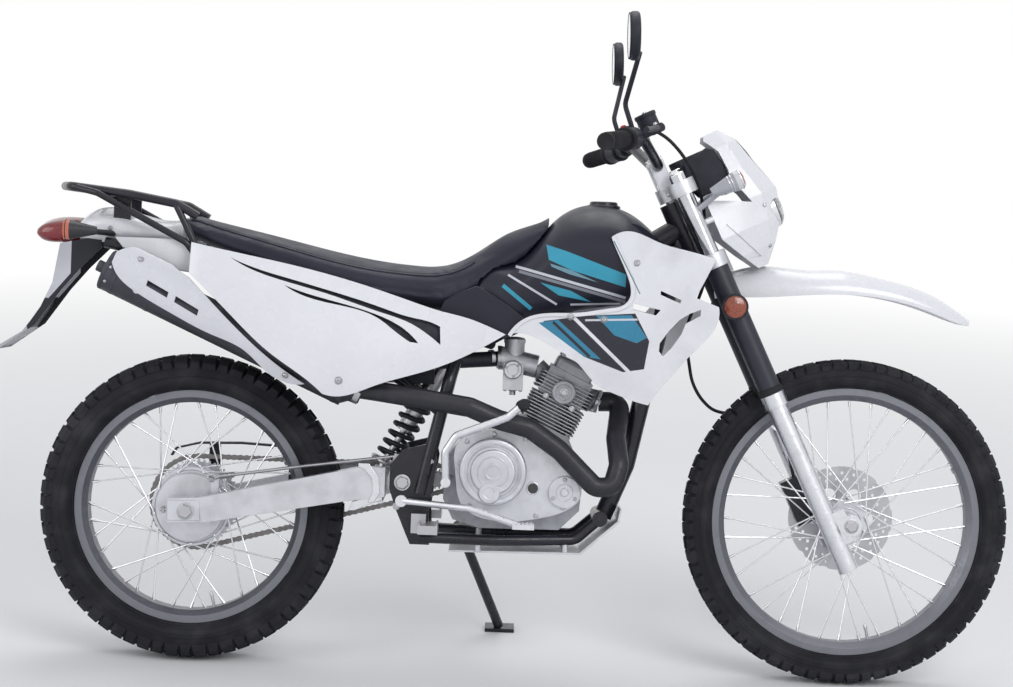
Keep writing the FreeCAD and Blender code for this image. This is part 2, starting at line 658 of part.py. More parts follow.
def cowl_hull(inset):
    """The headlamp cowl as a solid with flat sides and a crease at the shoulder, open at its back."""
    wires = []
    for level, front, shoulder, rear in COWL:
        left = [(front[0] - inset, front[1]), (shoulder[0] - inset, shoulder[1] - inset),
                (rear[0] - 3 * inset, rear[1] - inset)]
        corners = [V(a, -w, level) for a, w in reversed(left)] + [V(a, w, level) for a, w in left]
        wires.append(Part.makePolygon(corners + corners[:1]))
    return Part.makeLoft(wires, True, True)


def oval(ahead, half_width, half_height):
    """A ring of points round the headlamp's middle."""
    turns = [i * math.pi / 4 for i in range(8)]
    return [(ahead, half_width * math.cos(t), size["lamp_level"] + half_height * math.sin(t)) for t in turns]


WALL = size["panel_wall"]
cowl_solid = cowl_hull(0)
lamp = loft([oval(158, 60, 45), oval(192, 58, 43), oval(204, 44, 32)])
window = prism(COWL_WINDOW, -200, -20)
recess = prism(COWL_RECESS, -200, -20).cut(cowl_hull(WALL / 2))
arm_end = V(84, -80, 60)
arm = rod((30, -size["fork_half"], arm_end.z), arm_end, size["stalk_radius"]).cut(Part.makeCompound(tubes))
arm = arm.fuse(rod(arm_end + V(0, 8, 0), arm_end - V(0, 20, 0), size["stalk_radius"]).common(cowl_solid))
cowl = cowl_solid.cut([cowl_hull(WALL), lamp, window, mirrored(window), recess, mirrored(recess)])
feature("headlamp_cowl", cowl.fuse([arm, mirrored(arm)]), STEER)
feature("headlamp", lamp, STEER)
bracket = Part.makeBox(80, 60, 4, V(10, -30, CLAMP_TOP - 3))
gauge = Part.makeBox(46, 92, 36, V(44, -46, CLAMP_TOP + 1))
feature("instrument", bracket.fuse(gauge).cut(clamps), STEER)

FENDER = (((20, -52), (6, -98), 50), ((75, -60), (52, -114), 54), ((130, -78), (102, -135), 58),
          ((190, -112), (168, -160), 63),
          ((260, -144), (244, -192), 64), ((330, -192), (305, -226), 61), ((400, -250), (376, -280), 53),
          ((448, -312), (430, -334), 38), ((470, -350), (462, -360), 20))


def fender_hull(inset):
    """The fender as a solid arch, shrunk by an inset at its top and sides."""
    wires = []
    for top, low, half in FENDER:
        drop = V(top[0] - low[0], 0, top[1] - low[1]).normalize() * inset
        row = []
        for i in range(9):
            turn = math.pi * i / 8
            rise = math.sin(turn) ** 0.8 if 0 < i < 8 else 0
            row.append((low[0] - drop.x + (top[0] - low[0]) * rise, -(half - inset) * math.cos(turn),
                        low[1] - drop.z + (top[1] - low[1]) * rise))
        wires.append(Part.Wire([curve(row), Part.LineSegment(V(*row[-1]), V(*row[0])).toShape()]))
    return Part.makeLoft(wires, True, False)


mount = Part.makeBox(46, 60, 22, V(14, -30, LOWER_CLAMP - 22))
fender = fender_hull(0).cut(fender_hull(WALL)).fuse(mount)
feature("front_fender", fender, STEER)


def indicator(lens, stalk_end, sign, cut_by):
    """A round indicator on its stalk: a lens in front of a body that tapers away from it."""
    wide, narrow = size["indicator_radius"], size["indicator_radius"] * 0.4
    middle = V(lens[0] - sign * 12, lens[1], lens[2])
    tail_end = V(lens[0] - sign * size["indicator_length"], lens[1], lens[2])
    head = rod(lens, middle, wide).fuse(
        Part.makeCone(wide, narrow, (tail_end - middle).Length, middle, tail_end - middle))
    return head.fuse(rod((middle.x - sign * 14, middle.y, middle.z), stalk_end,
                         size["stalk_radius"]).cut(cut_by))


upper_tubes = Part.makeCompound(tubes)
front_indicator = indicator((138, -134, 112), (24, -size["fork_half"], 86), 1, upper_tubes)
feature("front_indicators", both(front_indicator), STEER)
reflector_y = -size["fork_half"] - size["cover_radius"] - 5
reflector = rod((24, reflector_y, -122), (24, reflector_y - 8, -122), 27)
reflector = reflector.fuse(Part.makeBox(12, 20, 14, V(18, reflector_y, -129)))
feature("side_reflectors", both(reflector.cut(covers[0])), STEER)
caliper = Part.makeBox(46, 36, 100, V(-24, DISC_LINE - 14, -DROP + 20)).cut(legs[1])
slot = size["disc_thickness"] / 2 + 3
caliper = caliper.cut(rod((size["axle_offset"], DISC_LINE - slot, -DROP),
                          (size["axle_offset"], DISC_LINE + slot, -DROP),
                          size["disc_radius"] + size["caliper_gap"]))
feature("brake_caliper", caliper, STEER)

# front brake hose: from the reservoir past the steering head, then in a loop behind the fork to the calliper
HOSE_UPPER = [(12, -188, 272), (34, -152, 246), (50, -118, 208), (59, -84, 164), (58, -56, 118),
              (52, -24, 78),
              (42, 8, 48), (28, 34, 24), (14, 50, 0)]
HOSE_LOOP = [(8, 52, -28), (0, 52, -58), (-26, 52, -86), (-58, 54, -112), (-82, 56, -146), (-95, 58, -191),
             (-108, 60, -240), (-106, 60, -278), (-93, 60, -312), (-68, 59, -332), (-40, 58, -333),
             (-16, 58, -324),
             (10, 58, -330), (28, 58, -349), (33, 58, -374), (27, 58, -414), (17, 58, -473), (6, 58, -524)]
hose_bends = []
hose = [tube(points, size["hose_radius"], 0, hose_bends) for points in (HOSE_UPPER, HOSE_LOOP)]
hose_length = sum(run.Volume for run in hose) / (math.pi * size["hose_radius"] ** 2)
clip = rod((28, 58, -349), (25, size["fork_half"] - 12, -352), size["hose_radius"] + 1).cut(legs[1])
hose = [hose[0].cut([reservoir, clamps]), hose[1].fuse(clip).cut([clamps, caliper])]
feature("brake_hose", Part.makeCompound(hose), STEER)

# engine, drawn along the cylinder

deck = [ENGINE.multVec(V(x, 0, size["barrel_base"]))
        for x in (size["fin_half_length"], -size["fin_half_length"])]
crankcase = (prism([(524, 360), (545, 318), (600, 302), (765, 304), (806, 345), (812, 420)] +
                           [(corner.x, corner.z) for corner in deck] + [(620, 505), (556, 478), (524, 440)],
                           -size["case_half"], size["case_half"]))
feature("crankcase", crankcase)
CLUTCH_BASE = [(545, 440), (560, 490), (620, 508), (690, 500), (760, 470), (800, 420), (806, 375), (780, 350),
               (720, 330), (640, 322), (570, 345)]
clutch = V(625, 0, 425)
face = -size["cover_face"]


def stage(start, end, radius, round_off=0.0):
    """One step of the clutch cover, its outer edge rounded off."""
    step = rod((clutch.x, start, clutch.z), (clutch.x, end, clutch.z), radius)
    if round_off:
        step = step.makeFillet(round_off, [e for e in step.Edges if abs(e.CenterOfMass.y - end) < 0.1])
    return step


cover = smooth_plate(CLUTCH_BASE, -size["case_half"], face)
cover = cover.fuse([stage(face + 2, face - 36, size["clutch_radius"], 6),
                    rod((773, face + 2, 387), (773, face - 8, 387), size["filter_radius"])])
cover = cover.cut([stage(face - 30, face - 37, size["clutch_radius"] - 11),
                   rod((708, face + 4, 392), (708, face - 1, 392), 11)])
cover = cover.fuse(stage(face - 28, face - 38, size["clutch_radius"] - 23, 4)).removeSplitter()
feature("clutch_cover", cover)
feature("magneto_cover", rod((size["crank_x"], size["case_half"], size["crank_z"]),
                             (size["crank_x"], 128, size["crank_z"]), 72))
HEAD_BASE = size["barrel_base"] + size["fin_count"] * size["fin_pitch"] + 4


def fins(low, count, length, width):
    """A stack of cooling fins with rounded corners."""
    stack = []
    for i in range(count):
        fin = Part.makeBox(2 * length, 2 * width, size["fin_thickness"],
                           V(-length, -width, low + i * size["fin_pitch"]))
        upright = [e for e in fin.Edges
                   if abs(e.Vertexes[0].Z - e.Vertexes[-1].Z) > size["fin_thickness"] / 2]
        stack.append(fin.makeFillet(16, upright))
    return stack


barrel = rod((0, 0, size["barrel_base"]), (0, 0, HEAD_BASE), size["barrel_radius"])
foot_plate = Part.makeBox(112, 112, 8, V(-56, -56, size["barrel_base"]))
barrel = barrel.fuse([foot_plate] + fins(size["barrel_base"] + 12, int(size["fin_count"]) - 1,
                                        size["fin_half_length"], size["fin_half_width"]))
feature("cylinder", barrel, ENGINE)
core = Part.makeBox(96, 100, 60, V(-48, -50, HEAD_BASE))
port = rod((40, 0, HEAD_BASE + 24), (76, 0, HEAD_BASE + 34), 24)
intake = rod((-40, 0, HEAD_BASE + 30), (-72, 0, HEAD_BASE + 40), 20)
rocker = Part.makeBox(84, 96, 26, V(-42, -48, HEAD_BASE + 60))
rocker = rocker.makeFillet(10, [e for e in rocker.Edges if e.CenterOfMass.z > HEAD_BASE + 61])
head = core.fuse([port, intake, rocker] + fins(HEAD_BASE + 6, 6, size["fin_half_length"] + 2,
                                               size["fin_half_width"]))
feature("cylinder_head", head, ENGINE)
port = ENGINE.multVec(V(-72, 0, HEAD_BASE + 40))
carb_rear = V(628, 0, 655)
carb = rod(port, carb_rear, 24).fuse([Part.makeBox(42, 52, 56, V(638, -26, 588)),
                                      rod((660, 0, 640), (660, 0, 694), 21)])
placed_head = head.copy()
placed_head.Placement = ENGINE
feature("carburettor", carb.cut(placed_head))

# exhaust

port_mouth = ENGINE.multVec(V(76, 0, HEAD_BASE + 34))
MUFFLER = (V(320, -108, 586), V(-180, -108, 806.6))
header = tube([tuple(port_mouth), (886, -2, 572), (876, -72, 500), (882, -116, 448), (870, -128, 402),
               (834, -130, 402),
               (760, -132, 474), (697, -136, 517), (631, -142, 533), (573, -145, 556), (470, -142, 570),
               (390, -122, 579), tuple(MUFFLER[0])],
              size["header_radius"], 25)
silencer = rod(MUFFLER[0], MUFFLER[1], size["silencer_radius"])
hanger = rod((-60, -size["rail_half"] - 4, 834), (-60, -104, 780), 7)
feature("exhaust_pipe", header.cut([silencer, placed_head]))


def moulded(grid, levels, lift, wall):
    """A sheet on the right side, smooth through a grid of (forward, distances out) at set levels."""
    sections = []
    for x, outs in grid:
        rows = [(x, -out - lift, z) for out, z in zip(outs, levels(x) if callable(levels) else levels)]
        sections.append((rows, [(x, y + wall, z) for x, y, z in rows]))
    return skin(sections)


def reaching(bosses, grid, levels):
    """Bosses trimmed at the middle of a moulded sheet's wall."""
    inside = moulded(grid, levels, -WALL / 2, 120)
    return [boss.common(inside) for boss in bosses]


def muffler_level(x):
    """Height of the silencer's middle line."""
    share = (MUFFLER[0].x - x) / (MUFFLER[0].x - MUFFLER[1].x)
    return MUFFLER[0].z + share * (MUFFLER[1].z - MUFFLER[0].z)


GUARD_TOP = [(-155, 842), (-139, 851), (-82, 845), (-36, 815), (-8, 797)]
GUARD_SEAM = [(-8, 797), (74, 717), (158, 643), (236, 590)]
GUARD_LOW = [(236, 590), (220, 588), (167, 604), (112, 653), (42, 684), (-37, 722), (-111, 763), (-145, 790),
             (-162, 822)]
GUARD_SLOTS = ([(-88, 788), (-45, 765), (-48, 754), (-91, 777)],
               [(-30, 758), (17, 732), (14, 720), (-33, 746)])
GUARD_GRID = [(x, (128, 156, 160, 150, 136)) for x in (-180, 40, 260)]


def guard_levels(x):
    """Heights of the guard's rows, which follow the silencer."""
    return [muffler_level(x) + rise for rise in (75, 30, -10, -35, -58)]


guard = moulded(GUARD_GRID, guard_levels, 0, WALL)
guard = guard.common(cutter([GUARD_TOP, GUARD_SEAM, GUARD_LOW, [GUARD_LOW[-1], GUARD_TOP[0]]], -220, -80))
guard = guard.cut([prism(slot, -220, -80) for slot in GUARD_SLOTS])
spacers = [rod((x, -140, muffler_level(x) - 8), (x, -190, muffler_level(x) - 8), 8) for x in (100, -110)]
spacers = reaching(spacers, GUARD_GRID, guard_levels)
feature("silencer_guard", guard.fuse([spacer.cut(silencer) for spacer in spacers]))

# where the side stand's leg runs

PIVOT = V(size["stand_x"], size["stand_y"], size["stand_z"])
LEAN_ROTATION = Rotation(V(1, 0, 0), -size["lean_angle"])
pivot_world = LEAN_ROTATION.multVec(PIVOT)
foot_world = V(pivot_world.x + size["stand_forward"], pivot_world.y + size["stand_out"], 0)
foot_here = LEAN_ROTATION.inverted().multVec(foot_world)
along = (foot_here - PIVOT).normalize()
hinge = V(1, 0, 0).cross(along).normalize()
if hinge.y < 0:
    hinge = hinge * -1

# frame

R = size["rail_radius"]
H0 = STEER.multVec(V(0, 0, 0))
H1 = STEER.multVec(V(0, 0, size["head_height"]))
spine_start = STEER.multVec(V(0, 0, size["head_height"] * 0.55))
down_start = STEER.multVec(V(0, 0, size["head_height"] / 2))
head_tube = rod(H0, H1, size["head_radius"])
spine_way = [spine_start, V(760, 0, 790), V(606, 0, 703)]
spine = tube([tuple(p) for p in spine_way], size["spine_radius"], 120)
down = tube([tuple(down_start), (902, 0, 440), (858, 0, 330)], size["down_radius"], 60)
solids = [spine, down]
shock_top = V(540, 0, 680)
cross = rod(shock_top - V(0, 62, 0), shock_top + V(0, 62, 0), size["twin_radius"])
solids.append(cross)
bottom = rod((850, -66, 330), (850, 66, 330), 16)
solids.append(bottom)
plate_points = [(414, 430), (440, 462), (500, 478), (510, 440), (496, 330), (500, 268), (460, 268),
                (428, 340),
                (414, 380)]
twin_y = size["plate_inner"] + size["plate_thickness"] / 2
for sign in (-1, 1):
    inner = sign * size["plate_inner"]
    solids.append(prism(plate_points, inner, inner + sign * size["plate_thickness"]))
    solids.append(tube([(625, sign * 6, 712), (548, sign * 58, 680), (528, sign * twin_y, 606),
                        (476, sign * twin_y, 372)], size["twin_radius"], 30))
    solids.append(tube([(850, sign * 55, 330), (800, sign * 62, 285), (640, sign * 88, 280),
                        (480, sign * 103, 282)],
                       R, 30))
solids.append(rod(PIVOT - hinge * 32, PIVOT - hinge * 12, 16))
frame_shape = head_tube.fuse(solids)
stem_bore = rod(H0 - (H1 - H0), H1 + (H1 - H0), stem_radius + size["running_fit"])
frame_shape = frame_shape.cut(stem_bore)
pivot_bore = rod((size["pivot_x"], -200, size["pivot_z"]), (size["pivot_x"], 200, size["pivot_z"]),
                 size["pivot_radius"])
stand_bore = rod(PIVOT - hinge * 40, PIVOT, 6)
frame_shape = frame_shape.cut([pivot_bore, stand_bore])
feature("main_frame", frame_shape)
rails = []
for sign in (-1, 1):
    rails.append(tube([(612, sign * 20, 682), (560, sign * size["rail_half"], 698),
                       (420, sign * size["rail_half"], 732),
                       (100, sign * size["rail_half"], 800), (-190, sign * size["rail_half"], 862)], R, 40))
    rails.append(tube([(512, sign * twin_y, 540), (428, sign * 92, 602), (60, sign * size["rail_half"], 806)],
                      R - 1, 60))
for x, z in ((300, 758), (-60, 834), (-180, 860)):
    rails.append(rod((x, -size["rail_half"], z), (x, size["rail_half"], z), R - 2))
subframe = rails[0].fuse(rails[1:]).cut(frame_shape)
feature("rear_subframe", subframe)
feature("silencer", silencer.fuse(hanger.cut(subframe)))

REAR_TOP = size["rear_rim_radius"] + size["rear_tyre_height"]
arm_outline = [(-38, 294), (-38, 344), (29, 348), (355, 424), (405, 424), (405, 364), (325, 352), (45, 298)]
arms = prism(arm_outline, size["arm_inner"], size["arm_inner"] + size["arm_width"])
arms = arms.fuse(mirrored(arms)).fuse(Part.makeBox(52, 2 * size["arm_inner"] + 2, 50,
                                                   V(REAR_TOP + size["tyre_room"], -size["arm_inner"] - 1,
                                                     350)))
for sign in (-1, 1):
    lug = rod((size["pivot_x"], sign * 38, size["pivot_z"]), (size["pivot_x"], sign * 62, size["pivot_z"]),
              22)
    arms = arms.fuse([lug, prism([(380, 396), (380, 356), (440, 374), (440, 414)], sign * 38, sign * 62)])
arms = arms.cut(pivot_bore)
axle_bore = rod((0, -200, REAR_AXLE_Z), (0, 200, REAR_AXLE_Z), size["rear_axle_radius"])
feature("swingarm", arms.cut(axle_bore))
pivot_bolt = rod((size["pivot_x"], -118, size["pivot_z"]), (size["pivot_x"], 118, size["pivot_z"]),
                 size["pivot_radius"])
feature("rear_axle", rod((0, -134, REAR_AXLE_Z), (0, 134, REAR_AXLE_Z), size["rear_axle_radius"]))
panel = rod((0, -38, REAR_AXLE_Z), (0, -52, REAR_AXLE_Z), 70).fuse(
    rod((0, -52, REAR_AXLE_Z), (0, -size["arm_inner"], REAR_AXLE_Z), 18)).fuse(
    Part.makeBox(16, 8, 90, V(44, -66, REAR_AXLE_Z - 20))).fuse(
    rod((52, -50, REAR_AXLE_Z), (52, -68, REAR_AXLE_Z), 9))
feature("rear_brake_panel", panel.cut(axle_bore))
shock_foot, shock_run = V(376, 0, 388), shock_top - V(376, 0, 388)
shock = rod(shock_foot, shock_top, 14).fuse([rod(shock_foot + shock_run * 0.14, shock_foot + shock_run * 0.62,
                                                 26),
                                            rod(shock_foot + shock_run * 0.12, shock_foot + shock_run * 0.15,
                                                32),
                                            rod(shock_foot + shock_run * 0.62, shock_foot + shock_run * 0.66,
                                                32)])
swing = arms.cut(axle_bore)
feature("rear_shock", shock.cut([swing, frame_shape]))

# chain


def chain_stations():
    """Pins round both sprockets, each with the loop's outward direction there."""
    big, small = V(0, 0, REAR_AXLE_Z), V(size["drive_x"], 0, size["drive_z"])
    r1, r2 = size["sprocket_pitch_radius"], size["drive_radius"]
    line = small - big
    lean = math.acos((r1 - r2) / line.Length)
    base = math.atan2(line.z, line.x)
    run = math.sqrt(line.Length ** 2 - (r1 - r2) ** 2)
    back, ahead = 2 * (math.pi - lean) * r1, 2 * lean * r2
    total = back + ahead + 2 * run
    count = 2 * round(total / size["link_pitch"] / 2)
    stations = []
    for i in range(count):
        way = total * i / count
        if way < ahead:
            centre, radius, turn, slide = small, r2, base + lean - way / r2, 0
        elif way < ahead + run:
            centre, radius, turn, slide = small, r2, base - lean, way - ahead
        elif way < ahead + run + back:
            centre, radius, turn, slide = big, r1, base - lean - (way - ahead - run) / r1, 0
        else:
            centre, radius, turn, slide = big, r1, base + lean, way - ahead - run - back
        out = V(math.cos(turn), 0, math.sin(turn))
        stations.append((centre + out * radius + V(out.z, 0, -out.x) * slide, out))
    return stations


def chain():
    """The drive chain: outer links and narrower inner links take turns from pin to pin."""
    half = size["chain_inner_width"] / 2
    widths = (half + 2 * size["chain_plate"], half + size["chain_plate"])
    heights = (size["chain_plate_height"] / 2, size["chain_plate_height"] / 2 - 1)
    stations = chain_stations()

    def rim(i, kind):
        pin, out = stations[i % len(stations)]
        corners = []
        for up, across in ((1, 1), (1, -1), (-1, -1), (-1, 1)):
            corner = pin + out * (up * heights[kind]) + V(0, size["chain_line"] + across * widths[kind], 0)
            corners.append(tuple(corner))
        return corners

    faces = []
    for i in range(len(stations)):
        first, last = rim(i, i % 2), rim(i + 1, i % 2)
        outer, inner = rim(i, 0), rim(i, 1)
        for j in range(4):
            k = (j + 1) % 4
            faces += [[first[j], first[k], last[k], last[j]], [outer[j], outer[k], inner[k], inner[j]]]
    return faceted(faces)


half_plate = size["chain_plate_height"] / 2
feature("drive_chain", chain())
drive_tip = size["drive_radius"] - half_plate - size["sprocket_gap"]
drive = toothed(int(size["drive_teeth"]), drive_tip, size["tooth_depth"])
drive.translate(V(size["drive_x"], 0, size["drive_z"]))
shaft = rod((size["drive_x"], size["case_half"], size["drive_z"]),
            (size["drive_x"], CHAIN_FAR + 3, size["drive_z"]),
            drive_tip - size["tooth_depth"] - 3)
feature("gearbox_sprocket", drive.fuse(shaft))
guard_strip = prism([(-60, 418), (-50, 434), (0, 447), (90, 450), (240, 444), (240, 440), (90, 446), (0, 443),
                     (-47, 431), (-56, 416)], 68, size["arm_inner"])
tabs = [Part.makeBox(24, 4, 110, V(x, size["arm_inner"] - 4, 335)) for x in (20, 190)]
feature("chain_guard", guard_strip.fuse(tabs))

# body


def ring(x, half, top, low, crown=0.35):
    """One section of a tank or seat across the machine: rounded top, flatter foot."""
    middle = low + (top - low) * 0.55
    return [(x, 0, top), (x, half * 0.6, top - (top - low) * crown * 0.3),
            (x, half * 0.96, middle + (top - middle) * 0.3),
            (x, half, low + (top - low) * 0.25), (x, half * 0.8, low), (x, 0, low), (x, -half * 0.8, low),
            (x, -half, low + (top - low) * 0.25), (x, -half * 0.96, middle + (top - middle) * 0.3),
            (x, -half * 0.6, top - (top - low) * crown * 0.3)]


TANK = ((575, 78, 812, 742), (640, 92, 862, 716), (700, 104, 905, 738), (740, 110, 950, 752),
        (800, 120, 979, 770),
        (860, 128, 976, 780), (920, 126, 944, 795), (965, 104, 905, 812))
SEAT = ((-29, 60, 930, 888), (60, 92, 906, 850), (200, 112, 876, 806), (330, 112, 850, 770),
        (450, 106, 837, 756),
        (540, 92, 851, 758), (600, 74, 889, 790), (660, 62, 925, 836), (725, 45, 959, 896))


def tank_hull(grow):
    """The fuel tank's outside, grown by a gap."""
    first = TANK[0][0]
    return loft([ring(x - (grow if x == first else 0), half + grow, top + grow, low - grow)
                 for x, half, top, low in TANK])


tank = tank_hull(0)
room = size["spine_radius"] + size["tank_room"]
spine_room = [rod(a, b + (b - a) * 0.1, room) for a, b in zip(spine_way, spine_way[1:])]
tunnel = prism([(p.x, p.z) for p in spine_way] + [(560, 640), (560, 560), (spine_start.x, 560)], -room, room)
pads = [Part.makeBox(24, 24, 50, V(x, -12, z)) for x, z in ((790, 816), (860, 860))]
head_room = rod(H0 - (H1 - H0), H1 + (H1 - H0), size["head_radius"] + 8)


def fork_swing(gap):
    """The room that the left fork leg and its clamps sweep through between the steering stops."""
    reach = math.hypot(size["fork_offset"], size["fork_half"])
    half = size["tube_radius"] + 12 + gap
    low = -size["slider_top"]
    height = TUBE_TOP + gap - low
    sweep = Part.makeCylinder(reach + half, height, V(0, 0, low), V(0, 0, 1), 130)
    sweep = sweep.cut(Part.makeCylinder(reach - half, height, V(0, 0, low), V(0, 0, 1)))
    sweep.Placement = STEER.multiply(Placement(V(0, 0, 0), Rotation(V(0, 0, 1), 10)))
    return sweep


left_swing = fork_swing(5)
tank = tank.cut([tunnel] + spine_room).fuse(pads)
tank = tank.cut([head_room, frame_shape, left_swing, mirrored(left_swing)])
feature("fuel_tank", tank)
seat = loft([ring(*row) for row in SEAT]).cut(tank_hull(size["seat_gap"]))
seat_feet = [rod((330, sign * size["rail_half"], 745), (330, sign * size["rail_half"], 790),
                 12) for sign in (-1, 1)]
seat = seat.fuse([foot.cut(subframe) for foot in seat_feet])
feature("seat", seat)


SHROUD_LEVELS = (940, 830, 720, 560)
SHROUD_GRID = ((630, (96, 118, 128, 118)), (760, (112, 132, 142, 130)), (850, (127, 143, 152, 138)),
               (930, (136, 165, 172, 155)), (1000, (148, 190, 196, 175)), (1080, (165, 210, 218, 195)))
SHROUD_TOP = [(847, 913), (887, 926), (942, 906), (1003, 890), (1057, 876)]
SHROUD_FRONT = [(1057, 876), (1036, 833), (1018, 797)]
WINGLET = [(1018, 797), (1064, 780)]
WINGLET_OUT = [(1064, 780), (1064, 754), (1022, 692), (988, 651), (934, 575)]
SHROUD_LOW = [(934, 575), (903, 582), (871, 593), (830, 611), (788, 654), (742, 682), (670, 710), (644, 706)]
SHROUD_REAR = [(644, 706), (654, 721), (673, 738), (788, 757), (848, 768), (876, 776), (888, 791), (889, 811),
               (882, 835),
               (860, 883), (847, 913)]
SHROUD_OPENINGS = ([(1029, 773), (1007, 764), (988, 751), (968, 728), (951, 702), (950, 686), (958, 676),
                    (974, 693),
                    (993, 723), (1000, 744), (1029, 761)],
                   [(949, 808), (990, 791), (988, 784), (949, 800)],
                   [(895, 780), (950, 769), (941, 758), (895, 768)])
outline = cutter([SHROUD_TOP, SHROUD_FRONT, WINGLET, WINGLET_OUT, SHROUD_LOW, SHROUD_REAR], -260, -60)
shroud = moulded(SHROUD_GRID, SHROUD_LEVELS, 0, WALL).common(outline)
shroud = shroud.cut([prism(opening, -260, -60) for opening in SHROUD_OPENINGS])
rib_inner = shifted(SHROUD_REAR, size["rib_width"])
rib = moulded(SHROUD_GRID, SHROUD_LEVELS, size["rib_height"], WALL).common(
    cutter([SHROUD_REAR, [SHROUD_REAR[-1], rib_inner[-1]], rib_inner[::-1], [rib_inner[0], SHROUD_REAR[0]]],
           -260, -60))
shroud = shroud.fuse(rib)
bosses = [rod((900, -60, 862), (900, -200, 862), 9), rod((838, -60, 745), (838, -200, 745), 9),
          rod((770, -60, 748), (770, -200, 732), 9)]
shroud = shroud.fuse([boss.cut(tank) for boss in reaching(bosses, SHROUD_GRID, SHROUD_LEVELS)])
feature("shrouds", both(shroud))

COVER_LEVELS = (900, 800, 700, 550)
COVER_GRID = ((-20, (112, 138, 150, 140)), (140, (116, 146, 166, 160)), (300, (100, 130, 166, 160)),
              (470, (104, 128, 148, 140)), (660, (90, 108, 120, 118)))
COVER_TOP = [(-7, 869), (13, 865), (156, 839), (320, 803), (443, 767), (505, 749), (566, 735), (607, 720),
             (640, 706)]
COVER_LOW = [(640, 706), (571, 665), (509, 636), (429, 610), (376, 592), (311, 569), (273, 573)]
COVER_SEAM = [(273, 573), (248, 595), (164, 652), (80, 726), (-8, 806)]
COVER_GROOVES = (([(75, 841), (124, 822), (198, 802), (280, 781), (383, 752), (445, 734), (477, 728),
                   (506, 717)],
                  [(506, 717), (508, 680)],
                  [(508, 680), (478, 703), (445, 722), (383, 742), (281, 773), (199, 794), (125, 816),
                   (75, 841)]),
                 ([(187, 789), (281, 762), (384, 734), (425, 715), (463, 682)], [(463, 682), (446, 684)],
                  [(446, 684), (409, 709), (384, 727), (281, 756), (187, 789)]))
outline = cutter([COVER_TOP, COVER_LOW, COVER_SEAM, [COVER_SEAM[-1], COVER_TOP[0]]], -240, -60)
cover_panel = moulded(COVER_GRID, COVER_LEVELS, 0, WALL).common(outline)
cover_panel = cover_panel.cut([cutter(groove, -240, -60) for groove in COVER_GROOVES])
bosses = [rod((60, -size["rail_half"], 812), (60, -200, 812), 8),
          rod((430, -size["rail_half"], 738), (430, -200, 768), 8), rod((300, -86, 672), (300, -200, 650), 8)]
bosses = [boss.cut([subframe, seat]) for boss in reaching(bosses, COVER_GRID, COVER_LEVELS)]
feature("side_covers", both(cover_panel.fuse(bosses)))
shock_line = (shock_top - shock_foot).normalize()
boot = rod(carb_rear + V(4, 0, -3), (470, -60, 640), 16).cut(carb)
air_box = Part.makeBox(116, 130, 120, V(380, -65, 596)).fuse([Part.makeBox(24, 150, 30, V(430, -75, 700)),
    boot])
air_box = air_box.cut([rod(shock_foot - shock_line * 40, shock_top, 40).cut(boot), subframe])
feature("air_box", air_box)
tail = loft([ring(-30, 78, 918, 868), ring(-130, 78, 924, 868), ring(-215, 72, 931, 866),
             ring(-246, 64, 909, 866)])
tail = tail.cut([subframe, seat])
feature("tail_cover", tail)
tail_lamp = loft([ring(-247, 58, 911, 864), ring(-305, 54, 908, 861), ring(-330, 46, 896, 866),
                  ring(-338, 38, 886, 872)])
feature("tail_lamp", tail_lamp.cut(tail))
FENDER_OUT = [(-200, 874), (-262, 862), (-286, 856), (-299, 775), (-322, 724), (-342, 694), (-358, 672),
              (-409, 639)]
FENDER_IN = [(-404, 634), (-333, 686), (-282, 759), (-242, 807), (-200, 850)]
half = size["fender_half"]
flap = prism(FENDER_OUT + FENDER_IN, -half, half)
hollow = prism([(x + 3.5, z - 2.5) for x, z in FENDER_OUT + FENDER_IN], size["fender_wall"] - half,
               half - size["fender_wall"])
feature("rear_fender", flap.cut([hollow, tail, subframe, tail_lamp]))
r = size["rack_radius"]
rack_loop = tube([(0, 96, 922), (-43, 98, 946), (-140, 100, 962), (-262, 86, 974), (-290, 0, 976),
                  (-262, -86, 974),
                  (-140, -100, 962), (-43, -98, 946), (0, -96, 922)], r + 2, 24)
bars = [rod((-140, -100, 962), (-140, 100, 962), r + 1), rod((-220, -94, 970), (-220, 94, 970), r + 1)]
bars += [prism([(-228, 965), (-132, 957), (-132, 963), (-228, 971)], sign * 48, sign * 72) for sign in (-1,
    1)]
for sign in (-1, 1):
    bars.append(tube([(-250, sign * 92, 972), (-205, sign * 104, 962), (-20, sign * 106, 868),
                      (12, sign * 100, 826)], r, 30))
    bars.append(tube([(-44, sign * 100, 944), (-12, sign * 104, 884), (14, sign * 100, 828)], r, 30))
    bars.append(rod((13, sign * 102, 824), (13, sign * size["rail_half"], 818), r))
    bars.append(prism([(-175, 966), (-140, 962), (-140, 890), (-175, 890)], sign * 70, sign * 74))
rack_normal = V(8, 0, 96).normalize()
rack_holes = [rod(V(-180, sign * 60, 964) - rack_normal * 20, V(-180, sign * 60, 964) + rack_normal * 20,
                  4.25)
              for sign in (-1, 1)]
feature("rear_rack", rack_loop.fuse(bars).cut([subframe, seat, tail] + rack_holes))
rear_indicator = indicator((-262, -150, 884), (-165, -60, 880), -1, Part.makeCompound([tail]))
feature("rear_indicators", both(rear_indicator))

# controls and guards

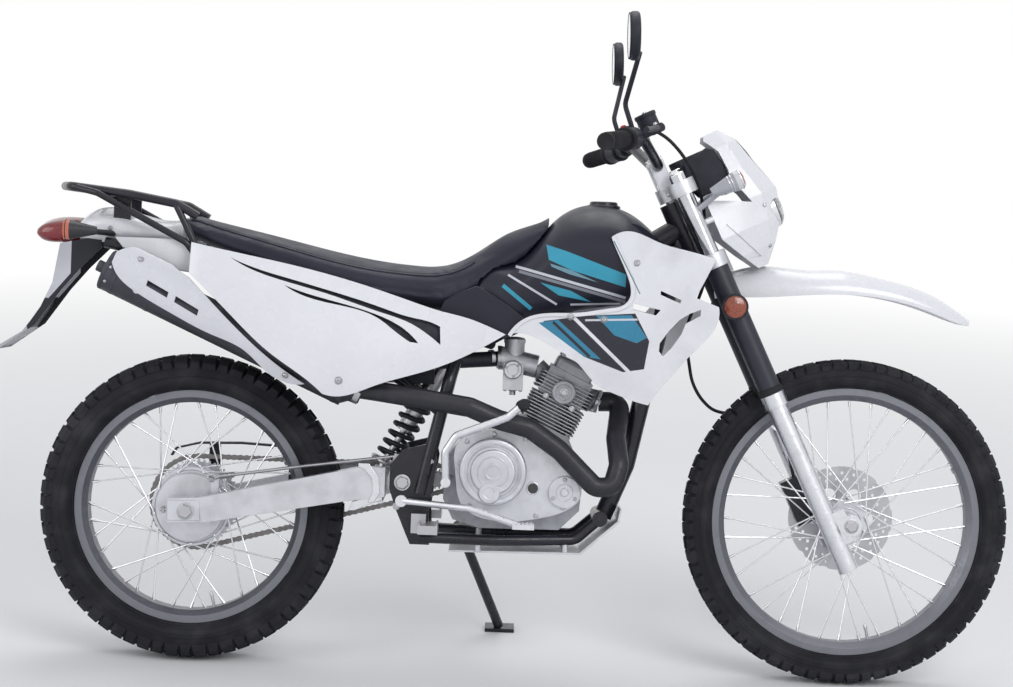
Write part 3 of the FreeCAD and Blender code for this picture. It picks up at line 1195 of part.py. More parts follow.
peg_root = size["plate_inner"] + size["plate_thickness"]
peg = Part.makeBox(40, 96, 18, V(478, -peg_root - 104, 300)).fuse(Part.makeBox(30, 30, 40,
    V(462, -peg_root - 30, 294)))
feature("footpegs", both(peg.cut(frame_shape)))
brake_pedal = tube([(440, -124, 358), (580, -166, 352), (690, -196, 322)], 7, 30).fuse(
    Part.makeBox(44, 40, 10, V(668, -216, 318))).fuse(rod((440, -109, 358), (440, -132, 358), 12))
gear_lever = (tube([(560, 100, 338), (620, 150, 330), (690, 180, 350)], 6, 20).fuse(
    rod((690, 170, 350), (690, 215, 350), 9)).fuse(rod((560, size["case_half"], 338), (560, 112, 338), 8)))
feature("foot_levers", Part.makeCompound([brake_pedal, gear_lever]))
kick = tube([(530, -176, 398), (527, -186, 466), (548, -190, 500), (650, -190, 541), (682, -192, 570)], 8, 18)
kick = kick.fuse([rod((530, -size["case_half"], 404), (530, -186, 404), 10),
                  rod((676, -184, 564), (684, -206, 570), 9)])
feature("kick_lever", kick.cut([cover, crankcase]))
skid = prism([(894, 352), (890, 326), (812, 256), (540, 252), (540, 256), (810, 260), (886, 328), (890, 352)],
             -78, 78)
posts = [rod((x, sign * y, 256), (x, sign * y, 286), 7) for x,
         y in ((780, 64), (600, 84)) for sign in (-1, 1)]
feature("skid_plate", skid.fuse([post.cut(frame_shape) for post in posts]))

# side stand, drawn where it stands

leg = rod(PIVOT, PIVOT + along * ((foot_here - PIVOT).Length - 12), size["stand_radius"])
eye = rod(PIVOT - hinge * 11, PIVOT + hinge * 11, 18)
sole = Part.makeBox(64, 44, size["foot_thickness"], V(foot_world.x - 34, foot_world.y - 20, 0))
sole.rotate(V(0, 0, 0), V(1, 0, 0), size["lean_angle"])
leg = leg.fuse([eye, sole])
stand_bolt = rod(PIVOT - hinge * 32, PIVOT + hinge * 13, 6)
feature("side_stand", leg.cut(rod(PIVOT - hinge * 30, PIVOT + hinge * 30, 6 + size["running_fit"])))
feature("pivot_bolts", Part.makeCompound([pivot_bolt, stand_bolt]))

# the lean, and the origin at the middle of the footprint

doc.recompute()
low, high = V(1e9, 1e9, 1e9), V(-1e9, -1e9, -1e9)
lean = Placement(V(0, 0, 0), LEAN_ROTATION)
for piece, frame in PIECES:
    shape = piece.Shape.copy()
    shape.Placement = lean.multiply(frame).multiply(shape.Placement)
    box = shape.BoundBox
    low = V(min(low.x, box.XMin), min(low.y, box.YMin), min(low.z, box.ZMin))
    high = V(max(high.x, box.XMax), max(high.y, box.YMax), max(high.z, box.ZMax))
middle = V((low.x + high.x) / 2, (low.y + high.y) / 2, 0)
STAND = Placement(middle * -1, Rotation()).multiply(lean)
for piece, frame in PIECES:
    piece.Placement = STAND.multiply(frame)
doc.recompute()

# checks and files

for obj in doc.Objects:
    if "Invalid" in obj.State or "Error" in obj.State:
        raise RuntimeError(f"{obj.Label}: {obj.State}")
broken = [piece.Label for piece, frame in PIECES if piece.Shape.isNull() or not piece.Shape.isValid()]
if broken:
    raise RuntimeError(f"no valid shape: {broken}")
os.makedirs("parts", exist_ok=True)
for piece, frame in PIECES:
    piece.Shape.exportStep(f"parts/{piece.Label}.step")
print("pieces", len(PIECES), "box", low, high, "middle", middle)
print("hose length", hose_length, "bends", [round(bend) for bend in hose_bends])
print("front axle", FRONT_AXLE, "rear axle z", REAR_AXLE_Z, "stand pivot", PIVOT, "hinge", hinge, "foot",
      foot_here)
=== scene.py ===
import json
from functools import partial
from math import acos, atan2, cos, hypot, pi, radians, sin, sqrt

import bmesh
import bpy
from mathutils import Matrix, Vector
from mathutils.bvhtree import BVHTree
from numpy import interp


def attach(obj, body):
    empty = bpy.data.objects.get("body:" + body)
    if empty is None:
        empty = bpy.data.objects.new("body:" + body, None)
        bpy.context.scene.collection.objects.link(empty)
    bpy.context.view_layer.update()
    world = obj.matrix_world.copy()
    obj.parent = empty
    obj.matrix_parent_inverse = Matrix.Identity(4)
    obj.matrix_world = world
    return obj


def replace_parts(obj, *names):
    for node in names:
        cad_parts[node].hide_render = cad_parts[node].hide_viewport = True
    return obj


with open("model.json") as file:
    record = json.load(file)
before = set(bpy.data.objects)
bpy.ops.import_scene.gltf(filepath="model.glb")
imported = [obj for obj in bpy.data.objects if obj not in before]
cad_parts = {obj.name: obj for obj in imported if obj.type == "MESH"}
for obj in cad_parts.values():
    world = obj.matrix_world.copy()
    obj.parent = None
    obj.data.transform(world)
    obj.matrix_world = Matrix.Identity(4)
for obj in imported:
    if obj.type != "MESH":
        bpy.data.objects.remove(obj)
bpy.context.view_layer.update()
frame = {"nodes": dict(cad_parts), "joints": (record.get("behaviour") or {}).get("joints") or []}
NODES = frame["nodes"]

# Frames that the pieces are drawn in, in millimetres: UPRIGHT has X forward from the rear axle and Z up from
# the ground, and Z of STEERING and ENGINE runs up the steering axis and the cylinder

RIGHT = Vector((0, -1, 0))
LEFT = Vector((0, 1, 0))
UP = Vector((0, 0, 1))
DOWN = Vector((0, 0, -1))
FORWARD = Vector((1, 0, 0))
BACK = Vector((-1, 0, 0))
SIDES = (-1, 1)
LEAN = radians(9)
JOINTS = {joint["name"]: joint for joint in frame["joints"]}
REAR_AXLE = Vector(JOINTS["rear_wheel_spin"]["pos_m"])
FRONT_AXLE = Vector(JOINTS["front_wheel_spin"]["pos_m"])
REAR_AXLE_HEIGHT = REAR_AXLE.z / cos(LEAN)
MIDDLE = Vector((-REAR_AXLE.x, REAR_AXLE_HEIGHT * sin(LEAN) - REAR_AXLE.y, 0))
UPRIGHT_TO_ROW = Matrix.Translation(-MIDDLE) @ Matrix.Rotation(-LEAN, 4, "X")
UPRIGHT = UPRIGHT_TO_ROW @ Matrix.Scale(0.001, 4)


def tilted(origin, degrees):
    """A frame at a point of the upright one, turned about Y."""
    return UPRIGHT @ Matrix.Translation(origin) @ Matrix.Rotation(radians(degrees), 4, "Y")


STEERING = tilted((1030, 0, 880), -26)
ENGINE = tilted((695, 0, 440), 25)
REAR_HEIGHT = REAR_AXLE_HEIGHT * 1000
FRONT_CENTRE = UPRIGHT.inverted() @ FRONT_AXLE
WHEELS = {
    "front": UPRIGHT @ Matrix.Translation((FRONT_CENTRE.x, 0, FRONT_CENTRE.z)),
    "rear": UPRIGHT @ Matrix.Translation((0, 0, REAR_HEIGHT)),
}
RIDES = ((UPRIGHT, "frame"), (ENGINE, "frame"), (STEERING, "steering"), (WHEELS["front"], "front_wheel"),
         (WHEELS["rear"], "rear_wheel"))

# Node trees; a socket's id_data is the tree that it belongs to

COLOR_A, COLOR_B, COLOR_RESULT = 6, 7, 2


def feed(socket, value):
    """Gives an input a plain value or another node's output."""
    if isinstance(value, bpy.types.NodeSocket):
        socket.id_data.links.new(value, socket)
    else:
        socket.default_value = value


def node(tree, kind, inputs, **settings):
    """A new shader node with its settings and inputs."""
    made = tree.nodes.new("ShaderNode" + kind)
    for key, value in settings.items():
        setattr(made, key, value)
    for key, value in inputs.items():
        feed(made.inputs[key], value)
    return made


def shader(color, roughness, metallic=0.0, coat=0.0, specular=0.5, **uniform):
    """A material with its one shader set up."""
    mat = bpy.data.materials.new("finish")
    mat.use_nodes = True
    bsdf = mat.node_tree.nodes["Principled BSDF"]
    for key, value in {"Base Color": (*color, 1), "Roughness": roughness, "Metallic": metallic,
            "Coat Weight": coat,
                       "Coat Roughness": 0.08, "Specular IOR Level": specular, **uniform}.items():
        bsdf.inputs[key].default_value = value
    return mat, mat.node_tree, bsdf


def place(tree):
    """The point being shaded, in the part's frame at rest."""
    return node(tree, "TexCoord", {}).outputs["Object"]


def speckle(tree, scale, detail=4.0, stretch=(1, 1, 1)):
    """Soft noise by features per metre; with no detail, distance to scattered points."""
    if detail is None:
        return node(tree, "TexVoronoi", {"Scale": scale, "Vector": place(tree)}).outputs["Distance"]
    stretched = node(tree, "Mapping", {"Scale": stretch, "Vector": place(tree)}).outputs["Vector"]
    return node(tree, "TexNoise", {"Scale": scale, "Detail": detail, "Vector": stretched}).outputs["Fac"]


def ramp(value, low, high, start=0.0, end=1.0):
    """The value carried from one range to another, clamped."""
    return node(value.id_data, "MapRange", {"From Min": low, "From Max": high, "To Min": start, "To Max": end,
                                            "Value": value}).outputs["Result"]


def maths(operation, a, b=0.5):
    """One arithmetic step between a socket and a socket or number."""
    return node(a.id_data, "Math", {0: a, 1: b}, operation=operation).outputs["Value"]


def mix(factor, a, b, blend="MIX"):
    """A colour between two, each a colour or a socket."""
    a, b = [(*part, 1) if isinstance(part, tuple) else part for part in (a, b)]
    return node(factor.id_data, "Mix", {0: factor, COLOR_A: a, COLOR_B: b}, data_type="RGBA",
                blend_type=blend).outputs[COLOR_RESULT]


def relief(bsdf, bumps, edge):
    """Bumps of (scale, detail, strength, depth, stretch) over rounded edges, in millimetres."""
    tree = bsdf.id_data
    normal = node(tree, "Bevel", {"Radius": edge / 1000}, samples=4).outputs["Normal"] if edge else None
    for scale, detail, strength, depth, *stretch in bumps:
        inputs = {"Strength": strength, "Distance": depth / 1000, "Height": speckle(tree, scale, detail,
                *stretch)}
        if normal:
            inputs["Normal"] = normal
        normal = node(tree, "Bump", inputs).outputs["Normal"]
    feed(bsdf.inputs["Normal"], normal)


# Materials

WHITE = (0.77, 0.775, 0.81)
INK = (0.013, 0.014, 0.026)
CYAN = (0.045, 0.33, 0.47)
DEEP_CYAN = (0.03, 0.22, 0.36)
SILVER = (0.60, 0.61, 0.65)
PALE_LINE = (0.60, 0.62, 0.67)


def tone(color, share, lift=0.0):
    """A colour made darker or lighter."""
    return tuple(c * share + lift for c in color)


def surface(color, roughness, wear, worn_color, polish, bumps, edge=0.0, **uniform):
    """A finish; wear and polish are (scale, detail, low, high) of their noise, then polish's range."""
    mat, tree, bsdf = shader(color, roughness, **uniform)
    feed(bsdf.inputs["Base Color"], mix(ramp(speckle(tree, *wear[:2]), *wear[2:]), color, worn_color))
    if polish:
        feed(bsdf.inputs["Roughness"], ramp(speckle(tree, *polish[:2]), *polish[2:]))
    relief(bsdf, bumps, edge)
    return mat


def gloss_plastic(color):
    """Body panel: gloss with a faint ripple, road dust and fine scuffs."""
    mat = surface(color, 0.22, (9, 6, 0.45, 0.8), tone(color, 0.94), (30, 5, 0.3, 0.8, 0.18, 0.38),
                  [(45, 2, 0.12, 0.6), (1400, 2, 0.05, 0.1)], 1.5, coat=0.5)
    base = mat.node_tree.nodes["Principled BSDF"].inputs["Base Color"]
    scuffs = maths("MULTIPLY", ramp(speckle(mat.node_tree, 70, 8, (1, 1, 5)), 0.62, 0.7), 0.15)
    feed(base, mix(scuffs, base.links[0].from_socket, tone(color, 0.6)))
    return mat


def grained_plastic(color):
    """Plastic with a leather-like grain."""
    return surface(color, 0.55, (14, 5, 0.4, 0.75), tone(color, 1.5, 0.004), (60, 4, 0.3, 0.7, 0.42, 0.62),
                   [(900, None, 0.25, 0.3)], 1.2, specular=0.3)


def painted_metal(color, rough=0.3):
    """Sprayed metal with fine orange peel."""
    return surface(color, rough, (25, 6, 0.5, 0.8), tone(color, 1.6, 0.006),
                   (80, 4, 0.3, 0.7, rough - 0.08, rough + 0.12), [(500, 2, 0.12, 0.2)], 1.2, coat=0.15,
                   specular=0.35)


def cast_metal(color, rough=0.42, grit=0.35):
    """Sand-cast alloy: pebbled skin, darker where grime sits."""
    return surface(color, rough, (22, 7, 0.42, 0.75), tone(color, 0.78),
                   (90, 4, 0.3, 0.7, rough - 0.1, rough + 0.14), [(1200, 3, grit, 0.3)], 1.2, metallic=0.8)


def bright_metal(color, rough):
    """Plated or polished metal with faint drawn lines."""
    return surface(color, rough, (35, 5, 0.55, 0.8), tone(color, 0.84), (120, 5, 0.35, 0.7, rough,
            rough + 0.16),
                   [(300, 3, 0.1, 0.2, (1, 6, 1))], 0.8, metallic=1.0)


def rubber(color, grain=700):
    """Matt rubber, greyed by dust in its hollows."""
    return surface(color, 0.72, (18, 7, 0.45, 0.8), (0.036, 0.036, 0.042), None, [(grain, 4, 0.3, 0.4)], 1,
                   specular=0.25)


def vinyl(color):
    """Grained seat cover, shinier where it is sat on."""
    return surface(color, 0.5, (7, 5, 0.4, 0.75), tone(color, 1.45, 0.003), (26, 5, 0.3, 0.75, 0.38, 0.6),
                   [(520, None, 0.4, 0.5), (1500, None, 0.25, 0.2), (16, 3, 0.25, 2)], specular=0.25,
                   **{"Sheen Weight": 0.06})


def lens(color, prism=420, clear=0.35):
    """A tinted lens with prisms behind its skin."""
    return surface(color, 0.08, (prism, None, 0.1, 0.7), tone(color, 0.55), None, [(prism, None, 0.35,
            0.6)], 1,
                   coat=0.6, **{"Transmission Weight": clear, "IOR": 1.49})


def banded(near, far, direction, level):
    """Two finishes, each (colour, roughness, metallic), parted by a plane."""
    mat, tree, bsdf = shader(*near[:2])
    along = node(tree, "VectorMath", {0: place(tree), 1: direction}, operation="DOT_PRODUCT")
    beyond = ramp(along.outputs["Value"], level - 0.0006, level + 0.0006)
    mottle = ramp(speckle(tree, 30, 6), 0.45, 0.8)
    colors = [mix(mottle, part[0], tone(part[0], 0.75)) for part in (near, far)]
    feed(bsdf.inputs["Base Color"], mix(beyond, *colors))
    for socket, i in (("Roughness", 1), ("Metallic", 2)):
        feed(bsdf.inputs[socket], ramp(beyond, 0, 1, near[i], far[i]))
    relief(bsdf, [(600, 3, 0.15, 0.2)], 1)
    return mat


def inside(x, z, corners):
    """One within a convex outline of the side view, its corners clockwise."""
    covered = None
    for (ax, az), (bx, bz) in zip(corners, corners[1:] + corners[:1]):
        length = hypot(bx - ax, bz - az)
        nx, nz = (bz - az) / length, -(bx - ax) / length
        reach = maths("ADD", maths("MULTIPLY", x, nx), maths("MULTIPLY", z, nz))
        edge = nx * ax + nz * az
        step = ramp(reach, (edge - 0.3) / 1000, (edge + 0.3) / 1000)
        covered = step if covered is None else maths("MINIMUM", covered, step)
    return covered


def stripe(start, end, width):
    """Corners of a straight stripe, clockwise."""
    (ax, az), (bx, bz) = start, end
    half = width / 2 / hypot(bx - ax, bz - az)
    nx, nz = -(bz - az) * half, (bx - ax) * half
    return [(ax + nx, az + nz), (bx + nx, bz + nz), (bx - nx, bz - nz), (ax - nx, az - nz)]


def decorated(base, patches, roughness, coat):
    """Paint with flat patches, each an outline of the side view in millimetres."""
    mat, tree, bsdf = shader(base, roughness, coat=coat, specular=0.3)
    upright = node(tree, "Mapping", {"Rotation": (LEAN, 0, 0), "Vector": place(tree),
                                     "Location": UPRIGHT_TO_ROW.inverted().translation})
    point = node(tree, "SeparateXYZ", {"Vector": upright.outputs["Vector"]})
    color = base
    for patch, corners in patches:
        color = mix(inside(point.outputs["X"], point.outputs["Z"], corners), color, patch)
    dust = ramp(speckle(tree, 12, 5), 0.45, 0.8)
    feed(bsdf.inputs["Base Color"], mix(dust, color, (0.85, 0.85, 0.85), "MULTIPLY"))
    feed(bsdf.inputs["Roughness"], ramp(speckle(tree, 40, 4), 0.3, 0.8, roughness - 0.06, roughness + 0.12))
    relief(bsdf, [(45, 2, 0.1, 0.6)], 1.5)
    return mat


# slanted bars of colour and pinstripes on the tank, wedges and fields below the shrouds' rib
TANK_PATCHES = [
    (CYAN, [(716, 893), (760, 880), (880, 838), (880, 812), (770, 842), (722, 862)]),
    ((0.16, 0.30, 0.37), [(722, 862), (770, 842), (880, 812), (880, 806), (765, 834),
                          (728, 848)]),
    (PALE_LINE, stripe((655, 846), (882, 790), 5.5)),
    ((0.22, 0.23, 0.27), stripe((662, 836), (882, 782), 6)),
    (CYAN, [(706, 815), (770, 800), (812, 779), (745, 790)]),
    (PALE_LINE, stripe((640, 828), (742, 771), 4.5)),
    (CYAN, stripe((630, 806), (690, 760), 8)),
    (PALE_LINE, stripe((770, 772), (872, 778), 4)),
]
SHROUD_PATCHES = [
    (INK, [(715, 737), (800, 751), (900, 760), (930, 705), (922, 648), (880, 640),
           (800, 668)]),
    (DEEP_CYAN, [(705, 733), (745, 741), (835, 664), (800, 668)]),
    (INK, stripe((735, 736), (812, 668), 6)),
    (WHITE, stripe((775, 748), (893, 640), 7)),
    (DEEP_CYAN, [(822, 752), (893, 756), (925, 712), (905, 700), (860, 714)]),
    (PALE_LINE, stripe((800, 742), (905, 748), 4)),
    ((0.10, 0.17, 0.21), stripe((852, 905), (908, 800), 2.2)),
]
# the pale wedge behind the rear fender's strut, and its tip
FENDER_PATCHES = [
    ((0.56, 0.565, 0.61), [(-300, 858), (-262, 862), (-262, 795), (-306, 742), (-330, 745)]),
    ((0.42, 0.43, 0.46), [(-430, 680), (-352, 694), (-346, 672), (-400, 620), (-430, 620)]),
]


def seam(space, direction, point):
    """The plane through a point of a frame, across a direction, as (direction, level)."""
    along = (space.to_3x3() @ direction).normalized()
    return along, along.dot(space @ Vector(point))


# each finish with the record's slot that it stands for, its material, and the nodes that wear it
FINISHES = {
    "white": ("white_plastic", gloss_plastic(WHITE), "headlamp_cowl front_fender side_covers tail_cover"),
    "guard": ("", gloss_plastic((0.66, 0.665, 0.71)), "silencer_guard"),
    "tank": ("tank_paint", decorated(INK, TANK_PATCHES, 0.4, 0.08), "fuel_tank"),
    "shroud": ("", decorated(WHITE, SHROUD_PATCHES, 0.24, 0.4), "shrouds"),
    "black": ("black_plastic", grained_plastic((0.013, 0.014, 0.022)),
              "air_box instrument bar_controls mirrors chain_guard side_reflectors"),
    "fender": ("", decorated((0.018, 0.019, 0.026), FENDER_PATCHES, 0.45, 0.0), "rear_fender"),
    "frame": ("black_paint", painted_metal((0.010, 0.010, 0.017)),
              "main_frame rear_subframe rear_rack handlebar side_stand brake_caliper"),
    "pipe": ("", painted_metal((0.016, 0.016, 0.023), 0.5), "exhaust_pipe"),
    "silencer": ("engine_grey", cast_metal((0.075, 0.077, 0.092), 0.5, 0.2), "silencer"),
    "alloy": ("silver_alloy", cast_metal(SILVER),
              "carburettor rear_brake_panel front_hub rear_hub clutch_cover fork_clamps skid_plate"),
    "arm": ("", cast_metal(SILVER, 0.36, 0.15), "swingarm"),
    "case": ("", cast_metal((0.33, 0.34, 0.37), 0.5, 0.5), "crankcase magneto_cover"),
    "barrel": ("engine_grey", cast_metal((0.36, 0.37, 0.40), 0.5, 0.5), "cylinder cylinder_head"),
    "slider": ("silver_alloy", bright_metal((0.66, 0.67, 0.71), 0.26),
               "fork_sliders kick_lever foot_levers rear_sprocket"),
    "rim": ("", bright_metal((0.19, 0.195, 0.22), 0.36), "front_rim rear_rim"),
    "chrome": ("chrome", bright_metal((0.80, 0.80, 0.83), 0.08), "front_spokes rear_spokes"),
    "steel": ("steel", bright_metal((0.46, 0.46, 0.49), 0.3),
              "front_disc gearbox_sprocket front_axle rear_axle pivot_bolts footpegs"),
    "chain": ("steel", bright_metal((0.23, 0.22, 0.22), 0.34), "drive_chain"),
    "tyre": ("tyre", rubber((0.011, 0.011, 0.015)), "front_tyre rear_tyre"),
    "rubber": ("rubber", rubber((0.014, 0.014, 0.017), 1200), "grips brake_hose"),
    "seat": ("seat_cover", vinyl((0.012, 0.013, 0.025)), "seat"),
    "thread": ("seat_cover", rubber((0.05, 0.05, 0.06), 2400), ""),
    "red": ("", lens((0.36, 0.006, 0.016)), "tail_lamp"),
    "orange": ("lens_amber", lens((0.62, 0.12, 0.05), 300), ""),
    "clear": ("", lens((0.62, 0.64, 0.70), 160), "headlamp"),
    "glass": ("lens_clear", lens((0.92, 0.93, 0.95), 120, 0.95), ""),
    "smoke": ("lens_clear", lens((0.03, 0.032, 0.04), 900, 0.2), ""),
    "screen": ("black_plastic", gloss_plastic((0.05, 0.05, 0.06)), ""),
    "mirror": ("chrome", bright_metal((0.72, 0.75, 0.78), 0.02), ""),
    "switch": ("black_plastic", grained_plastic((0.45, 0.02, 0.02)), ""),
    "dial": ("black_plastic", grained_plastic((0.02, 0.021, 0.025)), ""),
    "mark": ("white_plastic", grained_plastic((0.72, 0.72, 0.70)), ""),
    "fork": ("", banded((INK, 0.42, 0.0), ((0.62, 0.63, 0.67), 0.14, 1.0), *seam(STEERING, UP, (0, 0, -20))),
             "fork_tubes"),
    "front_flash": ("", banded(((0.40, 0.41, 0.45), 0.22, 0.0), ((0.66, 0.67, 0.70), 0.1, 0.0),
                               *seam(STEERING, FORWARD, (126, 0, 0))), "front_indicators"),
    "rear_flash": ("", banded(((0.58, 0.17, 0.10), 0.15, 0.0), ((0.02, 0.02, 0.026), 0.4, 0.0),
                              *seam(UPRIGHT, FORWARD, (-250, 0, 0))), "rear_indicators"),
}


def dress(obj, material):
    """Gives an object its one material."""
    obj.data.materials.clear()
    obj.data.materials.append(material)


for finish, (_, material, names) in FINISHES.items():
    material.name = finish
    for name in names.split():
        dress(NODES[name], material)

# Forms, each added to the mesh being drawn, in millimetres; piece() makes an object of it

mesh = bmesh.new()


def circle(count):
    """Angles evenly round a circle."""
    return [2 * pi * i / count for i in range(count)]


def ring_of(x, y, z, radius, count, first=0.0):
    """Points evenly round a circle that faces sideways."""
    return [(x + radius * cos(t + first), y, z + radius * sin(t + first)) for t in circle(count)]


def bridge(rings, closed=False, ends=False):
    """Faces from ring to ring; a ring of one point closes the form."""
    for a, b in zip(rings, rings[1:] + (rings[:1] if closed else [])):
        for i in range(max(len(a), len(b))):
            j = (i + 1) % max(len(a), len(b))
            if len(a) == 1:
                mesh.faces.new((a[0], b[i], b[j]))
            elif len(b) == 1:
                mesh.faces.new((a[i], b[0], a[j]))
            else:
                mesh.faces.new((a[i], b[i], b[j], a[j]))
    for ring in (rings[0], rings[-1]) if ends else ():
        mesh.faces.new(ring)


def lathe(profile, start, axis=RIGHT, sides=32, up=None, flat=1.0, closed=False):
    """A turned form from (along the axis, radius) stations, squeezed upward by flat."""
    start, axis = Vector(start), Vector(axis).normalized()
    across = (Vector(up) if up else axis.orthogonal()).normalized()
    beside = axis.cross(across)
    rings = []
    for along, radius in profile:
        centre = start + axis * along
        if radius == 0:
            rings.append([mesh.verts.new(centre)])
        else:
            rings.append([mesh.verts.new(centre + (across * cos(t) * flat + beside * sin(t)) * radius)
                          for t in circle(sides)])
    bridge(rings, closed)


def disc(profile, *where, **shape):
    """A turned form that is flat at both ends."""
    lathe([(profile[0][0], 0), *profile, (profile[-1][0], 0)], *where, **shape)


def band(profile, start, axis=RIGHT, sides=32):
    """A turned form that closes on itself."""
    lathe(profile, start, axis, sides, closed=True)


def rod(a, b, radius, sides=20, chamfer=0.6):
    """A straight round bar with broken edges."""
    a, b = Vector(a), Vector(b)
    length = (b - a).length
    cut = min(chamfer, radius / 3, length / 3)
    disc([(0, radius - cut), (cut, radius), (length - cut, radius), (length, radius - cut)], a, b - a, sides)


def hoop(centre, axis, radius, thickness, sides=48, section=10, flat=1.0, up=None):
    """A round ring about an axis."""
    profile = [(thickness * sin(t), radius + thickness * cos(t)) for t in circle(section)]
    lathe(profile, centre, axis, sides, up, flat, True)


def sweep(points, radius, sides=12):
    """A round bar along a line of points."""
    points = [Vector(p) for p in points]
    rings = []
    across = None
    for i, point in enumerate(points):
        ahead = (points[min(i + 1, len(points) - 1)] - points[max(i - 1, 0)]).normalized()
        across = across or ahead.orthogonal()
        across = (across - ahead * across.dot(ahead)).normalized()
        beside = ahead.cross(across)
        rings.append([mesh.verts.new(point + (across * cos(t) + beside * sin(t)) * radius)
                      for t in circle(sides)])
    bridge(rings, ends=True)


def slab(outline, near, far):
    """A plate across the machine, its outline given as (forward, up)."""
    bridge([[mesh.verts.new((x, y, z)) for x, z in outline] for y in (near, far)], ends=True)


def block(centre, size, turn=Matrix.Identity(3)):
    """A box by its centre and full size."""
    matrix = Matrix.Translation(centre) @ turn.to_4x4() @ Matrix.Diagonal((*size, 1))
    bmesh.ops.create_cube(mesh, size=1, matrix=matrix)


def bolt(seat, axis, width=10):
    """A hexagon bolt head on its washer."""
    corner = width / sqrt(3)
    disc([(-0.8, width * 0.7), (0.9, width * 0.7), (1.3, width * 0.62)], seat, axis, 20)
    disc([(0, corner), (width * 0.42, corner), (width * 0.5, corner * 0.84)], seat, axis, 6)


def bolts(spots, axis, width=10):
    """Bolt heads that all face one way."""
    for spot in spots:
        bolt(spot, axis, width)


def screw(seat, axis, radius=5):
    """A round screw head with its socket."""
    disc([(-0.8, radius), (radius * 0.5, radius), (radius * 0.75, radius * 0.75), (radius * 0.75,
            radius * 0.45),
          (radius * 0.25, radius * 0.42)], seat, axis, 18)


def both():
    """Adds the mirror image on the other side of the centre plane."""
    made = bmesh.ops.duplicate(mesh, geom=mesh.verts[:] + mesh.edges[:] + mesh.faces[:])["geom"]
    bmesh.ops.scale(mesh, vec=(1, -1, 1), verts=[item for item in made if isinstance(item,
            bmesh.types.BMVert)])


def piece(name, finish, space=UPRIGHT, bevel=0.0, smooth=35):
    """Turns what was drawn into an object that rides on its frame's body."""
    bmesh.ops.recalc_face_normals(mesh, faces=mesh.faces)
    mesh.transform(space)
    made = bpy.data.meshes.new(name)
    mesh.to_mesh(made)
    mesh.clear()
    made.shade_smooth()
    made.set_sharp_from_angle(angle=radians(smooth))
    obj = bpy.data.objects.new(name, made)
    bpy.context.scene.collection.objects.link(obj)
    slot, material, _ = FINISHES[finish]
    dress(obj, material)
    if bevel:
        edge = obj.modifiers.new("broken_edges", "BEVEL")
        edge.width = bevel / 1000
        edge.segments = 1
        edge.limit_method = "ANGLE"
        edge.angle_limit = radians(40)
    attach(obj, next(body for frame_of, body in RIDES if frame_of is space))
    return obj


# Wheels

# radius at the rim's flange, height, half widths at the bead and at the widest, lug depth, half width of
# the middle blocks, and blocks round the tyre
TYRES = {"front": (279, 60, 26, 42, 8, 12, 36), "rear": (243, 74, 34, 56, 9, 18, 32)}


def smoothed(points, steps=5):
    """A smooth line through a row of (across, radius) points."""
    ends = [points[0]] + list(points) + [points[-1]]
    made = []
    for before, a, b, after in zip(ends, ends[1:], ends[2:], ends[3:]):
        for k in range(steps):
            t = k / steps
            made.append(tuple(
                0.5 * (2 * q + (r - p) * t + (2 * p - 5 * q + 4 * r - s) * t * t
                       + (3 * q - p - 3 * r + s) * t ** 3)
                for p, q, r, s in zip(before, a, b, after)))
    return made + [tuple(points[-1])]


def knob(foot, top, turn, length):
    """A tread block between rows of (across, radius) points, at a turn of the tyre."""
    rings = []
    for side in SIDES:
        for row, half in ((foot, length / 2 + 1.2), (top, length / 2 - 0.8)):
            angles = [turn + side * half / r for _, r in row]
            rings.append([mesh.verts.new((sin(angle) * r, y, -cos(angle) * r))
                          for angle, (y, r) in zip(angles, row)])
    low_a, top_a, low_b, top_b = rings
    for i in range(len(foot) - 1):
        for a, b in ((top_a, top_b), (low_a, low_b), (low_a, top_a), (low_b, top_b)):
            mesh.faces.new((a[i], a[i + 1], b[i + 1], b[i]))
    for i in (0, -1):
        mesh.faces.new((low_a[i], top_a[i], top_b[i], low_b[i]))


